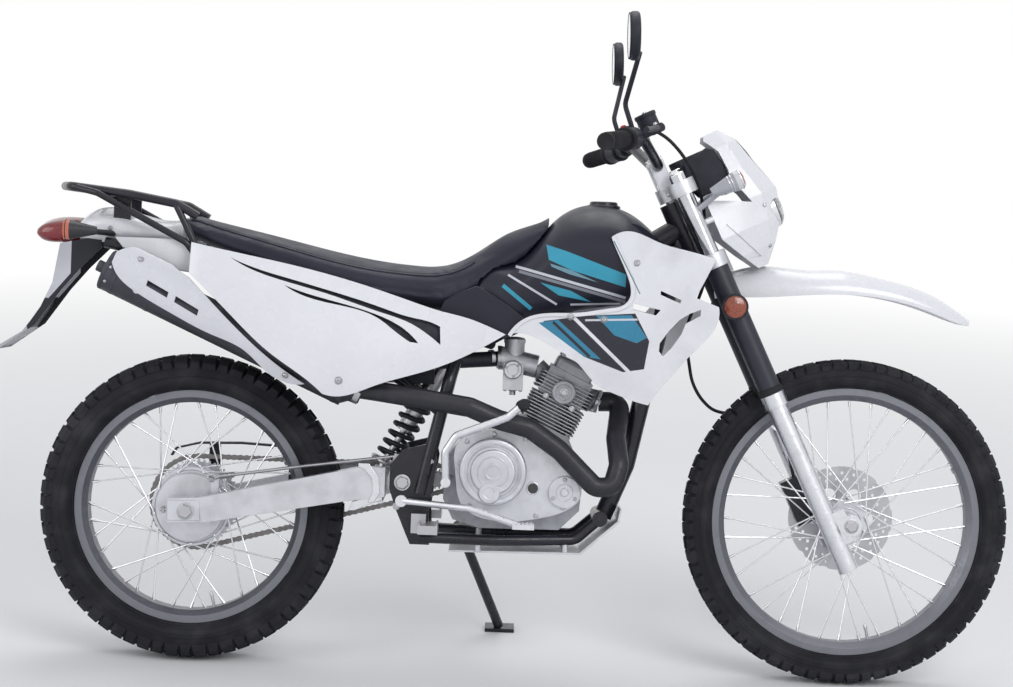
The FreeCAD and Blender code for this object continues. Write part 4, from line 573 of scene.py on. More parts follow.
def tyre(side):
    """A trail tyre: carcass, sidewall rings, middle and shoulder blocks."""
    flange, height, bead_half, width, lug, middle, count = TYRES[side]
    top = flange + height
    shoulder = (0.80 * width, top - 0.42 * width)
    wall = (width, top - 0.98 * width)
    bead = (bead_half, flange + 0.5)
    tread = (middle, top - 0.72 * lug)
    line = smoothed([
        (0, tread[1] + 0.3), tread, ((tread[0] + shoulder[0]) / 2, (tread[1] + shoulder[1]) / 2 + 1),
        shoulder,
        ((shoulder[0] + wall[0]) / 2 + 1.2, (shoulder[1] + wall[1]) / 2), (wall[0] - 0.2, wall[1]),
        ((wall[0] + bead[0]) / 2 + 3, (wall[1] + bead[1]) / 2 - 1), bead])
    profile = [(y, r) for y, r in reversed(line)] + [(-y, r) for y, r in line[1:]]
    lathe(profile, (0, 0, 0), LEFT, 180, UP, closed=True)
    # rings moulded into the sidewalls
    for share, thick in ((0.10, 2.2), (0.24, 1.5), (0.31, 1.5), (0.62, 1.7)):
        y, r = line[round((1 - share * 0.62) * (len(line) - 1))]
        for sign in SIDES:
            hoop((0, sign * (y - 0.3), 0), LEFT, r, thick, 180, 6)

    def ground(y):
        """Radius of the carcass where it carries a block."""
        share = max(0.0, (y - middle) / (shoulder[0] - middle))
        return tread[1] + (shoulder[1] - tread[1]) * share - 0.6

    def crown(y):
        """Radius of the tread blocks' tops."""
        return top - 0.35 - 0.0160 * max(0.0, y - middle) ** 2

    edge = shoulder[0] + 0.08 * width - 0.4
    skirt = 0.62 * lug
    pitch = pi / count * top
    split = middle + 0.5 * (edge - middle)
    # by turns: a wide middle block with a narrow shoulder block, and the other way round
    blocks = (((1.4, middle / 2, middle), 0.07, 0.86, (middle + 0.55 * (edge - middle), edge - 1), 0.62),
              ((middle + 2.6, split - 1), 0, 0.82, (split + 1, edge), 0.86))
    for step, turn in enumerate(circle(2 * count)):
        inner, twist, inner_length, outer, outer_length = blocks[step % 2]
        for sign in SIDES:
            knob([(sign * y, ground(y)) for y in inner], [(sign * y, crown(y)) for y in inner],
                 turn + sign * twist * pitch / top, inner_length * pitch)
            feet = [(sign * y, ground(min(y, shoulder[0]))) for y in outer]
            tops = [(sign * y, crown(y)) for y in outer]
            feet.append((sign * (shoulder[0] + 0.02 * width), shoulder[1] - skirt * 1.6))
            tops.append((sign * (edge + 0.8), crown(edge) - skirt * 2))
            knob(feet, tops, turn, outer_length * pitch)
    made = piece(f"{side}_trail_tyre", "tyre", WHEELS[side], 0.7, 30)
    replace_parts(made, f"{side}_tyre")


def wheel_trim(side):
    """Valve, rim lock and hub details of a wheel."""
    seat_radius = TYRES[side][0] - (26 if side == "front" else 27)
    turn = Vector((sin(2.9), 0, cos(2.9)))
    lathe([(0, 0), (0, 5.5), (3, 5.5), (3.4, 3.2), (22, 3.2), (22, 3.8), (31, 3.6), (33, 2.4), (33, 0)],
          turn * (seat_radius + 2), -turn, 14)
    lock = Vector((sin(1.1), 0, cos(1.1)))
    bolt(lock * (seat_radius + 1), -lock, 12)
    piece(f"{side}_valve", "steel", WHEELS[side])
    reach, out, width, start, rings = {
        "front": (27, 58, 8, 0, ((-50.5, 15, 1.6, 32), (-32.8, 30, 1.2, 48))),
        "rear": (38, 81.5, 10, 0.26, ((-36.5, 70, 1.4, 64), (-31, 76, 1.0, 64))),
    }[side]
    bolts(ring_of(0, out, 0, reach, 6, start), LEFT, width)
    for y, radius, thickness, sides in rings:
        hoop((0, y, 0), LEFT, radius, thickness, sides, 8)
    piece(f"{side}_hub_trim", "steel", WHEELS[side])


# Drive chain

CHAIN_LINE = 78
LINK_PITCH = 12.7
REAR_PITCH_RADIUS = 97.1
DRIVE_PITCH_RADIUS = 28.5
DRIVE_CENTRE = (508, 388)


def chain_pins():
    """Places of the pins round both sprockets, as (forward, up)."""
    run_x, run_z = DRIVE_CENTRE[0], DRIVE_CENTRE[1] - REAR_HEIGHT
    length = hypot(run_x, run_z)
    lean = acos((REAR_PITCH_RADIUS - DRIVE_PITCH_RADIUS) / length)
    base = atan2(run_z, run_x)
    run = sqrt(length ** 2 - (REAR_PITCH_RADIUS - DRIVE_PITCH_RADIUS) ** 2)
    ahead = 2 * lean * DRIVE_PITCH_RADIUS
    back = 2 * (pi - lean) * REAR_PITCH_RADIUS
    stretches = ((ahead, DRIVE_CENTRE, DRIVE_PITCH_RADIUS, base + lean, True),
                 (run, DRIVE_CENTRE, DRIVE_PITCH_RADIUS, base - lean, False),
                 (back, (0, REAR_HEIGHT), REAR_PITCH_RADIUS, base - lean, True),
                 (run, (0, REAR_HEIGHT), REAR_PITCH_RADIUS, base + lean, False))
    total = ahead + back + 2 * run
    count = 2 * round(total / LINK_PITCH / 2)
    pins = []
    for i in range(count):
        way = total * i / count
        for length, (x, z), radius, turn, curved in stretches:
            if way < length:
                break
            way -= length
        turn, slide = (turn - way / radius, 0) if curved else (turn, way)
        pins.append((x + cos(turn) * radius + sin(turn) * slide, z + sin(turn) * radius - cos(turn) * slide))
    return pins


def link_plate(a, b, radius=5.6, waist=3.9):
    """The waisted outline of a link plate round two pins."""
    way = atan2(b[1] - a[1], b[0] - a[0])
    middle = ((a[0] + b[0]) / 2, (a[1] + b[1]) / 2)
    outline = []
    for pin, first in ((a, 60), (b, -120)):
        for centre, reach, angle in [(pin, radius, first + 40 * k) for k in range(7)] + [(middle, waist,
                first - 150)]:
            angle = way + radians(angle)
            outline.append((centre[0] + reach * cos(angle), centre[1] + reach * sin(angle)))
    return outline


def drive_chain():
    """Roller chain: waisted plates inside and outside by turns, rollers and pins."""
    pins = chain_pins()
    for i, (x, z) in enumerate(pins):
        inner = 5.5 if i % 2 == 0 else 4
        for sign in SIDES:
            slab(link_plate((x, z), pins[(i + 1) % len(pins)]), CHAIN_LINE + sign * inner,
                 CHAIN_LINE + sign * (inner + 1.3))
        rod((x, CHAIN_LINE - 4, z), (x, CHAIN_LINE + 4, z), 3.9, 10, 0)
        rod((x, CHAIN_LINE - 7.2, z), (x, CHAIN_LINE + 7.2, z), 1.8, 8, 0.4)
    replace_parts(piece("roller_chain", "chain"), "drive_chain")


# Rear shock absorber

SHOCK_FOOT = Vector((376, 0, 388))
SHOCK_RUN = Vector((540, 0, 680)) - SHOCK_FOOT


def shock():
    """Damper with its eye and collars, and the coil spring."""
    axis, length = SHOCK_RUN.normalized(), SHOCK_RUN.length
    rod(SHOCK_FOOT + LEFT * 14, SHOCK_FOOT - LEFT * 14, 14)
    disc([(8, 9), (20, 13), (30, 13), (30, 7), (0.36 * length, 7), (0.36 * length, 16), (0.4 * length, 18),
          (0.9 * length, 18), (0.95 * length, 13), (length, 13)], SHOCK_FOOT, axis, 28)
    for share in (0.12, 0.625):
        band([(0, 8), (0, 30), (2, 31.5), (7, 31.5), (9, 28), (9, 8)], SHOCK_FOOT + axis * length * share,
                axis, 32)
    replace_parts(piece("shock_absorber", "steel"), "rear_shock")
    coils, steps, wire, radius = 7, 18, 5.2, 24
    across = axis.orthogonal().normalized()
    beside = axis.cross(across)
    start, end = 0.15 * length + wire, 0.62 * length - wire
    points = []
    for i in range(coils * steps + 1):
        turn = 2 * pi * i / steps
        along = start + (end - start) * i / (coils * steps)
        points.append(SHOCK_FOOT + axis * along + (across * cos(turn) + beside * sin(turn)) * radius)
    sweep(points, wire, 10)
    piece("shock_spring", "black")


# Seat

PAD_INSET = 0.0035
PAD_VOXEL = 0.005
PAD_PRESSURE = 4.0
PAD_CAP = 0.0045
PAD_STEPS = 20
PIPING_SHARE = 0.80
STITCH_SHARE = 0.86


def settle(obj):
    """Applies all the object's modifiers."""
    bpy.context.view_layer.update()
    solid = obj.evaluated_get(bpy.context.evaluated_depsgraph_get())
    made = bpy.data.meshes.new_from_object(solid)
    obj.modifiers.clear()
    obj.data = made


def shrunk_copy(source, name):
    """A copy of a node, meshed evenly, smoothed and drawn in by the inset."""
    obj = bpy.data.objects.new(name, source.data.copy())
    bpy.context.scene.collection.objects.link(obj)
    for kind, settings in (("REMESH", {"mode": "VOXEL", "voxel_size": PAD_VOXEL}),
                           ("SMOOTH", {"factor": 0.5, "iterations": 6}),
                           ("DISPLACE", {"strength": -PAD_INSET, "mid_level": 0})):
        modifier = obj.modifiers.new(kind.lower(), kind)
        for key, value in settings.items():
            setattr(modifier, key, value)
    settle(obj)
    return obj


def inflate(obj):
    """Swells a padded form like filled fabric, its underside held and its movement capped."""
    scene = bpy.context.scene
    vertices = obj.data.vertices
    start = [vertex.co.copy() for vertex in vertices]
    to_upright = UPRIGHT_TO_ROW.to_3x3().inverted()
    pinned = obj.vertex_groups.new(name="underside")
    pinned.add([vertex.index for vertex in vertices if to_upright @ vertex.normal @ UP < -0.35], 1.0,
            "REPLACE")
    cloth = obj.modifiers.new("fill", "CLOTH")
    cloth.settings.use_pressure = True
    cloth.settings.uniform_pressure_force = PAD_PRESSURE
    cloth.settings.vertex_group_mass = "underside"
    cloth.settings.effector_weights.gravity = 0
    cloth.point_cache.frame_start, cloth.point_cache.frame_end = 1, PAD_STEPS
    for step in range(1, PAD_STEPS + 1):
        scene.frame_set(step)
    swollen = obj.evaluated_get(bpy.context.evaluated_depsgraph_get()).to_mesh()
    moved = [vertex.co.copy() for vertex in swollen.vertices]
    obj.modifiers.clear()
    scene.frame_set(1)
    for vertex, was, now in zip(vertices, start, moved):
        shift = now - was
        if shift.length > PAD_CAP:
            shift *= PAD_CAP / shift.length
        vertex.co = was + shift


def seat_section(tree, x, share):
    """The point on the seat's right side over a station, at a share of its height."""
    def hit(start, way):
        """Where a ray meets the seat."""
        found = tree.ray_cast(UPRIGHT @ Vector(start), UPRIGHT.to_3x3() @ way)[0]
        return UPRIGHT.inverted() @ found if found else None

    high = hit((x, 0, 1100), DOWN)
    if high is None:
        return None
    low = hit((x, 0, 500), UP).z
    return hit((x, -300, low + (high.z - low) * share), LEFT)


def seat():
    """The padded seat with its piping and stitches."""
    pad = shrunk_copy(NODES["seat"], "seat_pad")
    inflate(pad)
    finer = pad.modifiers.new("finer", "SUBSURF")
    finer.levels = finer.render_levels = 1
    settle(pad)
    pad.data.shade_smooth()
    dress(pad, FINISHES["seat"][1])
    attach(pad, "frame")
    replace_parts(pad, "seat")
    tree = BVHTree.FromObject(pad, bpy.context.evaluated_depsgraph_get())
    rows = {PIPING_SHARE: [], STITCH_SHARE: []}
    for step in range(50):
        for share, line in rows.items():
            point = seat_section(tree, 12 * step - 18, share - 0.06 * sin(pi * step / 49))
            if point:
                line.append(point)
    for sign in SIDES:
        sweep([(p.x, sign * (abs(p.y) + 0.3), p.z) for p in rows[PIPING_SHARE]], 2.0, 8)
    piece("seat_piping", "seat")
    for sign in SIDES:
        way = [Vector((p.x, sign * abs(p.y), p.z)) for p in rows[STITCH_SHARE]]
        for a, b in zip(way, way[1:]):
            half = (b - a).normalized() * 1.9
            for spot in (a, a.lerp(b, 0.5)):
                sweep([spot - half, spot + LEFT * sign * 0.7, spot + half], 0.55, 5)
    piece("seat_stitches", "thread")


# Places on the panels

SURFACES = {}


def on_panel(name, x, z, sign=-1, space=UPRIGHT):
    """The outermost point of a node over a spot of its side view, and the way out there."""
    if name not in SURFACES:
        SURFACES[name] = BVHTree.FromObject(NODES[name], bpy.context.evaluated_depsgraph_get())
    turn = space.to_3x3().normalized()
    hit, normal = SURFACES[name].ray_cast(space @ Vector((x, sign * 400, z)), turn @ LEFT * -sign)[:2]
    if hit is None:
        raise RuntimeError(f"{name} isn't at {x}, {z}")
    normal = turn.inverted() @ normal
    return space.inverted() @ hit, normal if normal.y * sign > 0 else -normal


# Nose, handlebar and fork

steered = partial(piece, space=STEERING)
LAMP_LEVEL = 32


def lamp_rings(stations):
    """Oval rings round the headlamp's middle, given as (ahead, half width, half height)."""
    bridge([[mesh.verts.new((ahead, wide * cos(t), LAMP_LEVEL + high * sin(t)))
             for t in circle(48 if wide else 1)] for ahead, wide, high in stations])


lamp_rings([(159, 0, 0), (159, 10, 10), (161, 28, 22), (166, 42, 32), (176, 51, 38), (190, 54, 39.5), (192,
        55.5, 41),
            (190, 58, 43), (172, 59.5, 44.5), (158.2, 59.8, 44.8), (158.2, 0, 0)])
bowl = steered("headlamp_bowl", "chrome")
rod((160, 0, LAMP_LEVEL), (178, 0, LAMP_LEVEL), 6, 16)
steered("headlamp_bulb", "mark")
lamp_rings([(206.3, 0, 0), (206, 16, 12), (205, 30, 22), (202.5, 42, 31), (198, 51, 37), (192.5, 56.5, 41.8),
            (191, 57.4, 42.5), (191, 54.5, 40), (196, 49, 35), (200.2, 41, 30), (202.6, 29, 21), (203.6, 15,
            11),
            (203.9, 0, 0)])
steered("headlamp_glass", "glass")
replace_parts(bowl, "headlamp")

# smoked screen over the front of the cowl, above the lamp
SCREEN = ((219, 148.6, 15), (190, 171, 26), (160, 180.5, 31), (134, 186, 34), (104, 195.5, 36), (84, 201.5,
        37))
SCREEN_ARCH = ((-1, -1), (1.4, -1), (2.2, -0.5), (2.4, 0), (2.2, 0.5), (1.4, 1), (-1, 1))
bridge([[mesh.verts.new((ahead + lift, half * share, level)) for lift, share in SCREEN_ARCH]
        for level, ahead, half in SCREEN], ends=True)
steered("cowl_screen", "screen")

slab([(50, 186), (104, 200), (118, 190), (126, 150), (126, 110), (60, 110), (44, 150)], -58, -50)
both()
block((115, 0, 150), (6, 108, 78))
steered("instrument_hood", "black", bevel=1.5)

DIAL = (66, 0, 0)
disc([(162, 30), (168, 39.5), (190, 41), (197, 41), (198.5, 40), (198.5, 37.5), (195, 37)], DIAL, UP, 48)
hoop((66, 0, 172), UP, 40, 1.2, 48, 8)
steered("speedometer_case", "black")
disc([(194.6, 36.5), (195.6, 36.5), (195.6, 3), (196.6, 3)], DIAL, UP, 48)
steered("speedometer_face", "dial")


def dial_mark(degrees, middle, level, *size):
    """A straight mark that points away from the dial's middle."""
    turn = radians(degrees)
    block((66 + middle * cos(turn), middle * sin(turn), level), size, Matrix.Rotation(turn, 3, "Z"))


for i in range(25):
    reach = 29 if i % 2 else 27
    dial_mark(270 * i / 24 - 225, (reach + 34) / 2, 195.8, 34 - reach, 0.9, 0.6)
dial_mark(-225, 12, 196.2, 30, 1.4, 0.7)
steered("speedometer_marks", "mark")
lathe([(197.2, 0), (197.2, 37.4), (198.2, 37.4), (198.4, 0)], DIAL, UP, 48)
steered("speedometer_glass", "glass")

FORK = [Vector((24, sign * 93, 0)) for sign in SIDES]
for leg in FORK:
    band([(-317.5, 24.1), (-317.5, 26.4), (-311, 26.6), (-309, 25.6), (-303, 24.9), (-303, 24.1)], leg, UP,
            40)
steered("fork_dust_seals", "rubber")
for leg in FORK:
    disc([(171.5, 17.6), (174, 17.6), (175.5, 16)], leg, UP, 32)
    disc([(175, 12.2), (182, 12.2), (183.5, 10.6)], leg, UP, 6)
disc([(157.5, 14), (160, 14)], (-3, 0, 0), UP, 28)
disc([(159.5, 12.5), (168, 12.5), (170, 10.5)], (-3, 0, 0), UP, 6)
steered("fork_caps", "chrome")
for sign in SIDES:
    bolts([(-6.5, sign * 93, level) for level in (143, -19)], BACK, 9)
    for ahead in (-11, 11):
        screw((ahead, sign * 40, 220.5), UP, 4.6)
    bolt((64, sign * 109.5, (STEERING.inverted() @ FRONT_AXLE).z), LEFT * sign, 22)
bolts([(-14, 79, level) for level in (-586, -538)], LEFT)
steered("fork_bolts", "steel")
slab([(-15.5, 206), (-15.5, 217), (-11, 220), (11, 220), (15.5, 217), (15.5, 206)], -28, -52)
both()
steered("bar_clamps", "alloy", bevel=1.2)
disc([(76, 17.5), (83, 17.5), (85, 15.5), (85, 10), (83.5, 9)], (-1, 0, -562), LEFT, 32)
steered("calliper_piston_cap", "frame")

BAR_END = Vector((-98, -400, 284))
BAR_WAY = (Vector((-16, -190, 268)) - BAR_END).normalized()
BAR_TURN = BAR_WAY.to_track_quat("Y", "Z").to_matrix()


def on_bar(distance, *offset):
    """A point on the right bar, measured inward from its end, moved by an offset."""
    return BAR_END + BAR_WAY * distance + Vector(offset or (0, 0, 0))


for i in range(24):
    hoop(on_bar(4 + 4.4 * i), BAR_WAY, 16.9, 1.0, 28, 6)
band([(107, 11.2), (107, 22), (109, 24), (113, 24), (116, 21), (117.5, 11.2)], BAR_END, BAR_WAY, 32)
both()
steered("grip_ribs", "rubber")
for distance in (124, 166):
    hoop(on_bar(distance), BAR_WAY, 22, 1.1, 36, 6)
block(on_bar(146, -3, 0, 21), (18, 26, 9), BAR_TURN)
both()
block(on_bar(150, -21, 0, -6), (10, 18, 12), BAR_TURN)
steered("switch_blocks", "black", bevel=1.0)
block(on_bar(146, -3, 0, 26.5), (8, 13, 6), BAR_TURN)
steered("stop_switch", "switch", bevel=0.8)
RESERVOIR = (5.5, -197.2, 0)
disc([(301.5, 22), (303, 22.6), (308, 22.6), (310, 21)], RESERVOIR, UP, 40)
steered("reservoir_cap", "black")
for sign in SIDES:
    screw((5.5, -197.2 + sign * 13, 310.5), UP, 3.6)
disc([(20, 7), (21.8, 7), (22.2, 5.6)], (5.5, -197.2, 285), BACK, 24)
steered("reservoir_screws", "steel")
for sign in SIDES:
    for spot, width in ((on_bar(186, 45, 1, 10), 8), (on_bar(184, 0, 0, 13), 13)):
        bolt((spot.x, -sign * spot.y, spot.z), UP, width)
steered("lever_bolts", "steel")

MIRROR = (30, -322, 456)
MIRROR_TURN = Matrix.Rotation(radians(24), 3, "Y")
lathe([(0.6, 0), (0.6, 56), (-0.8, 55), (-0.8, 0)], MIRROR, MIRROR_TURN @ FORWARD, 48, MIRROR_TURN @ UP, 0.77)
both()
steered("mirror_glasses", "mirror")
hoop(MIRROR, MIRROR_TURN @ FORWARD, 57.5, 1.5, 48, 8, 0.775, MIRROR_TURN @ UP)
both()
steered("mirror_rims", "black")

lathe([(129, 0), (129, 22.5), (132, 22.5), (134.5, 18), (135.3, 0)], (24, 0, -122), RIGHT, 36)
both()
steered("reflector_lenses", "orange")
lathe([(-3, 0), (-3, 19.4), (1.5, 18.8), (5, 14), (6.5, 0)], (138, -134, 112), FORWARD, 36)
both()
steered("front_indicator_lenses", "orange")


def indicator_rings(name, space, finish, rings, *middle):
    """Rings round both indicators, each (forward, radius, thickness, sides, section)."""
    for ahead, radius, *shape in rings:
        hoop((ahead, *middle), FORWARD, radius, *shape)
    both()
    piece(name, finish, space)


indicator_rings("front_indicator_rims", STEERING, "chrome",
                ((137.5, 19.6, 1.6, 40, 8), (118, 18.6, 0.9, 36, 6), (112, 17.4, 0.9, 36, 6)), -134, 112)
for x, z in ((168, 44), (146, -38)):
    screw(*on_panel("headlamp_cowl", x, z, -1, STEERING), 4.2)
both()
for x in (24, 50):
    for y in (-22, 22):
        screw((x, y, -33.5), UP, 4)
steered("cowl_screws", "steel")

# Engine

CLUTCH_RIM = [(545, 440), (560, 490), (620, 508), (690, 500), (760, 470), (800, 420), (806, 375), (780, 350),
              (720, 330), (640, 322), (570, 345)]
bolts([(680 + (x - 680) * 0.92, -104.2, 414 + (z - 414) * 0.92) for x, z in CLUTCH_RIM], RIGHT, 8)
for spot in ring_of(773, -112, 387, 25.5, 3, radians(90)):
    screw(spot, RIGHT, 4.2)
bolts(ring_of(695, 128, 440, 63, 5, radians(54)), LEFT, 8)
bolts([(592, 0, 304), (700, 0, 302)], DOWN, 14)
piece("case_bolts", "steel")
for centre, axis, radius, thickness, sides in (
        ((625, -133.8, 425), RIGHT, 52, 1.6, 72), ((625, -142, 425), RIGHT, 31, 1.4, 64),
        ((773, -112, 387), RIGHT, 17, 1.2, 40), ((708, -104, 392), RIGHT, 12, 1.8, 36),
        ((695, 128, 440), LEFT, 50, 1.3, 64)):
    hoop(centre, axis, radius, thickness, sides, 8)
for profile, *where in (
        ([(140, 19), (143.2, 18.4), (143.2, 14), (142.4, 13)], (625, 0, 425), RIGHT, 48),
        ([(131, 22), (141.5, 22), (143.6, 20), (143.6, 12), (142.9, 11)], (619, 0, 382), RIGHT, 40),
        ([(110, 9), (115.5, 9), (116.5, 8)], (773, 0, 387), RIGHT, 6),
        ([(127, 20), (130.5, 19), (131.5, 14)], (695, 0, 440), LEFT, 40),
        ([(127, 9), (131, 9), (132, 8)], (722, 0, 478), LEFT, 28)):
    disc(profile, *where)
piece("engine_rings", "alloy")
lathe([(102.8, 0), (102.8, 10.8), (103.9, 10.4), (104.2, 0)], (708, 0, 392), RIGHT, 28)
piece("oil_window", "smoke")
disc([(46, 25), (65, 25), (67, 23), (67, 17), (66, 16)], (0, 0, 165), RIGHT, 40)
both()
disc([(66, 13.5), (72, 13.5), (76, 10)], (66, 0, 178.4), FORWARD, 6)
piece("cam_covers", "barrel", ENGINE)
for sign in SIDES:
    for x in (-48, 48):
        bolt((x, sign * 48, 86), UP, 10)
        bolt((x * 0.72, sign * 40, 231.5), UP, 9)
    bolt((0, sign * 66, 165), LEFT * sign, 12)
    bolt((74, sign * 31, 179), FORWARD, 11)
bolts([(x, -62, 141.5) for x in (-30, 30)], RIGHT, 9)
piece("cylinder_bolts", "steel", ENGINE)
bridge([[mesh.verts.new((x, 42 * cos(t), 179 + 24 * sin(t))) for t in circle(24)] for x in (68, 75)],
       ends=True)
piece("exhaust_flange", "steel", ENGINE, 1.0)
PLUG = (10, 60, 167)
PLUG_WAY = (0.1, 0.94, 0.32)
lathe([(-14, 0), (-14, 7), (0, 7), (0, 10.5), (8, 10.5), (8, 6.5), (10, 6)], PLUG, PLUG_WAY, 6)
piece("spark_plug_body", "steel", ENGINE)
disc([(7, 6), (12, 6), (13, 5), (26, 4.6), (27, 3), (31, 3), (33, 2)], PLUG, PLUG_WAY, 18)
piece("spark_plug", "mark", ENGINE)

disc([(22, 19.5), (37, 19.5), (39, 17.5), (39, 12), (37.5, 11)], (658, 0, 631), RIGHT, 36)
lathe([(686, 20.9), (686, 22.6), (694, 22.6), (697, 19), (699, 8), (699, 0)], (660, 0, 0), UP, 36)
disc([(577, 6.5), (586, 6.5), (586, 10), (589, 12)], (659, 0, 0), UP, 24)
piece("carburettor_covers", "alloy")
for x in (643, 675):
    for y in (-21, 21):
        screw((x, y, 588), DOWN, 3.6)
for spot in ring_of(658, -39, 631, 15, 3, radians(40)):
    screw(spot, RIGHT, 2.8)
for start, way, radius in (((630, 0, 654), (-1, 0, -0.05), 24.6), ((612, -6, 652), (-0.93, -0.36, -0.04),
        17.2),
                           ((490, -53, 641), (-0.93, -0.36, -0.04), 17.2)):
    band([(-4, radius - 1.2), (-4, radius + 0.6), (4, radius + 0.6), (4, radius - 1.2)], start, way, 40)
piece("carburettor_screws", "steel")

# Exhaust

SILENCER_FRONT = Vector((320, -108, 586))
SILENCER_REAR = Vector((-180, -108, 806.6))
PIPE_WAY = (SILENCER_REAR - SILENCER_FRONT).normalized()
disc([(-34, 22), (-30, 23.5), (-14, 26), (0, 38), (3, 41.9)], SILENCER_FRONT, PIPE_WAY, 48)
disc([(-6, 42.5), (0, 42.5), (2, 40), (2, 22), (0, 20)], SILENCER_REAR, PIPE_WAY, 48)
disc([(-2, 12), (19, 12), (20, 11), (20, 9.5), (2, 9.5)], SILENCER_REAR, PIPE_WAY, 28)
for along in (16, 120, 440, 520):
    band([(along - 5, 41.8), (along - 4, 42.6), (along + 4, 42.6), (along + 5, 41.8)], SILENCER_FRONT,
            PIPE_WAY, 48)
piece("silencer_ends", "silencer")
band([(-32, 21), (-32, 24.8), (-20, 25.4), (-20, 21)], SILENCER_FRONT, PIPE_WAY, 40)
rod(SILENCER_FRONT + Vector((26, -14, 26)), SILENCER_FRONT + Vector((26, 14, 26)), 3.6)
around = PIPE_WAY.orthogonal().normalized()
beside = PIPE_WAY.cross(around)
for turn in circle(8):
    out = around * cos(turn + 0.3) + beside * sin(turn + 0.3)
    lathe([(-1, 0), (-1, 3.4), (0.8, 3.2), (1.6, 1.8), (1.8, 0)],
            SILENCER_REAR - PIPE_WAY * 12 + out * 41.6, out, 12)
piece("silencer_clamps", "steel")

# Panels: screw heads, each sunk in its washer

for name, panel, radius, sides, spots in (
        ("shroud_screws", "shrouds", 5, SIDES, [(900, 862), (838, 745), (770, 748)]),
        ("cover_screws", "side_covers", 6, SIDES, [(306, 601)]),
        ("guard_screws", "silencer_guard", 5, (-1,), [(-106, 830), (196, 606)])):
    for x, z in spots:
        for sign in sides:
            spot, out = on_panel(panel, x, z, sign)
            screw(spot, out, radius)
            hoop(spot, out, radius + 1.6, 0.8, 24, 6)
    piece(name, "steel")

COVER_STATIONS = (-20, 140, 300, 470, 660)
COVER_OUT = {550: (140, 160, 160, 140, 118), 700: (150, 166, 166, 148, 120), 800: (138, 146, 130, 128, 108),
             900: (112, 116, 100, 104, 90)}


def cover_out(x, z):
    """Distance of the side cover from the centre plane."""
    return interp(z, list(COVER_OUT), [interp(x, COVER_STATIONS, outs) for outs in COVER_OUT.values()])


rings = []
for i in range(24):
    x = 70 + (510 - 70) * i / 23
    top = interp(x, (60, 200, 380, 515), (845, 815, 765, 728))
    low = interp(x, (60, 200, 380, 470, 515), (825, 780, 715, 672, 675))
    row = [top + (low - top) * k / 6 for k in range(7)]
    rings.append([mesh.verts.new((x, inset - cover_out(x, z), z))
                  for inset, levels in ((9, row), (11, row[::-1])) for z in levels])
bridge(rings, ends=True)
both()
piece("cover_backing", "black")

disc([(0, 35), (13, 35), (15, 33.5), (15, 30), (21, 28.5), (22.5, 26), (22.5, 12), (21.5, 11)], (834, 0,
        965), UP, 56)
piece("fuel_cap", "frame", bevel=0.5)

# Plates across the machine, the first three on both sides

for name, finish, bevel, near, far, outline in (
        ("seat_side_trim", "tank", 1.0, -99, -96,
         [(498, 738), (512, 770), (545, 790), (578, 803), (640, 768), (676, 742), (672, 712), (640, 696),
         (560, 712),
          (520, 728)]),
        ("tail_side_trim", "white", 1.2, -97, -94,
         [(-168, 874), (-20, 874), (-3, 868), (-5, 806), (-40, 810), (-92, 840), (-150, 852)]),
        ("axle_plates", "alloy", 0.8, -121.8, -125, [(-37, 299), (-37, 340), (26, 342), (31, 301)]),
        ("arm_strap", "slider", 0.8, -123, -126,
         [(350, 432), (372, 432), (392, 405), (396, 372), (384, 352), (372, 352), (382, 375), (378, 402),
         (362, 420),
          (350, 424)]),
        ("arm_bracket", "slider", 0.8, -95, -119, [(331, 333), (340, 352), (405, 374), (400, 358), (345,
        334)])):
    slab(outline, near, far)
    if finish != "slider":
        both()
    piece(name, finish, bevel=bevel)

# Chassis

for sign in SIDES:
    for x, y, z, width in ((440, 108.5, 394, 24), (488, 108.5, 300, 11), (496, 108.5, 440, 11),
                           (430, 108.5, 345, 11), (0, 125.5, REAR_HEIGHT, 26), (13, 109, 824, 10)):
        bolt((x, sign * y, z), LEFT * sign, width)
    rod((-54, sign * 107, REAR_HEIGHT), (-30, sign * 107, REAR_HEIGHT), 4, 14)
    disc([(0, 8), (6, 8)], (-44, sign * 107, REAR_HEIGHT), BACK, 6)
piece("frame_bolts", "steel")
sweep([(52, -70, 384), (60, -70, 388), (240, -77, 418), (424, -88, 446)], 3.4, 10)
for i in range(12):
    hoop((62 + 2.6 * i, -70 - 0.1 * i, 388.5 + 0.43 * i), (1, -0.04, 0.16), 5.6, 0.9, 18, 6)
disc([(0, 7), (9, 7)], (40, -69.5, 382), (1, 0, 0.15), 6)
slab([(446, 352), (434, 352), (410, 380), (408, 400), (422, 452), (434, 450), (422, 398), (424, 386), (446,
        364)],
     -91, -95)
piece("brake_rod", "steel")


def ridge(x, low, high, foot, crest, near, far):
    """A small ridge across the machine."""
    slab([(x - foot, low), (x - crest, high), (x + crest, high), (x + foot, low)], near, far)


for i in range(12):
    for x in (480.5, 515.5):
        ridge(x, 316, 321, 2.4, 1.2, -118 - 8 * i, -122.4 - 8 * i)
both()
piece("peg_teeth", "steel")
for i in range(5):
    ridge(671 + 9 * i, 327, 330.4, 2, 1, -214, -178)
piece("pedal_ridges", "slider")
lathe([(174, 9), (174, 11), (215, 11), (217, 9.5), (217, 0)], (690, 0, 350), LEFT, 24)
for i in range(7):
    hoop((690, 178 + 5.4 * i, 350), LEFT, 11, 0.9, 24, 6)
KICK_END = Vector((676, -184, 564))
KICK_WAY = Vector((8, -22, 6)).normalized()
lathe([(-1, 9), (-1, 11.2), (24, 11.2), (26, 9), (26, 0)], KICK_END, KICK_WAY, 24)
for i in range(4):
    hoop(KICK_END + KICK_WAY * (3 + 5.6 * i), KICK_WAY, 11.2, 0.9, 24, 6)
piece("lever_rubbers", "rubber")

# Tail

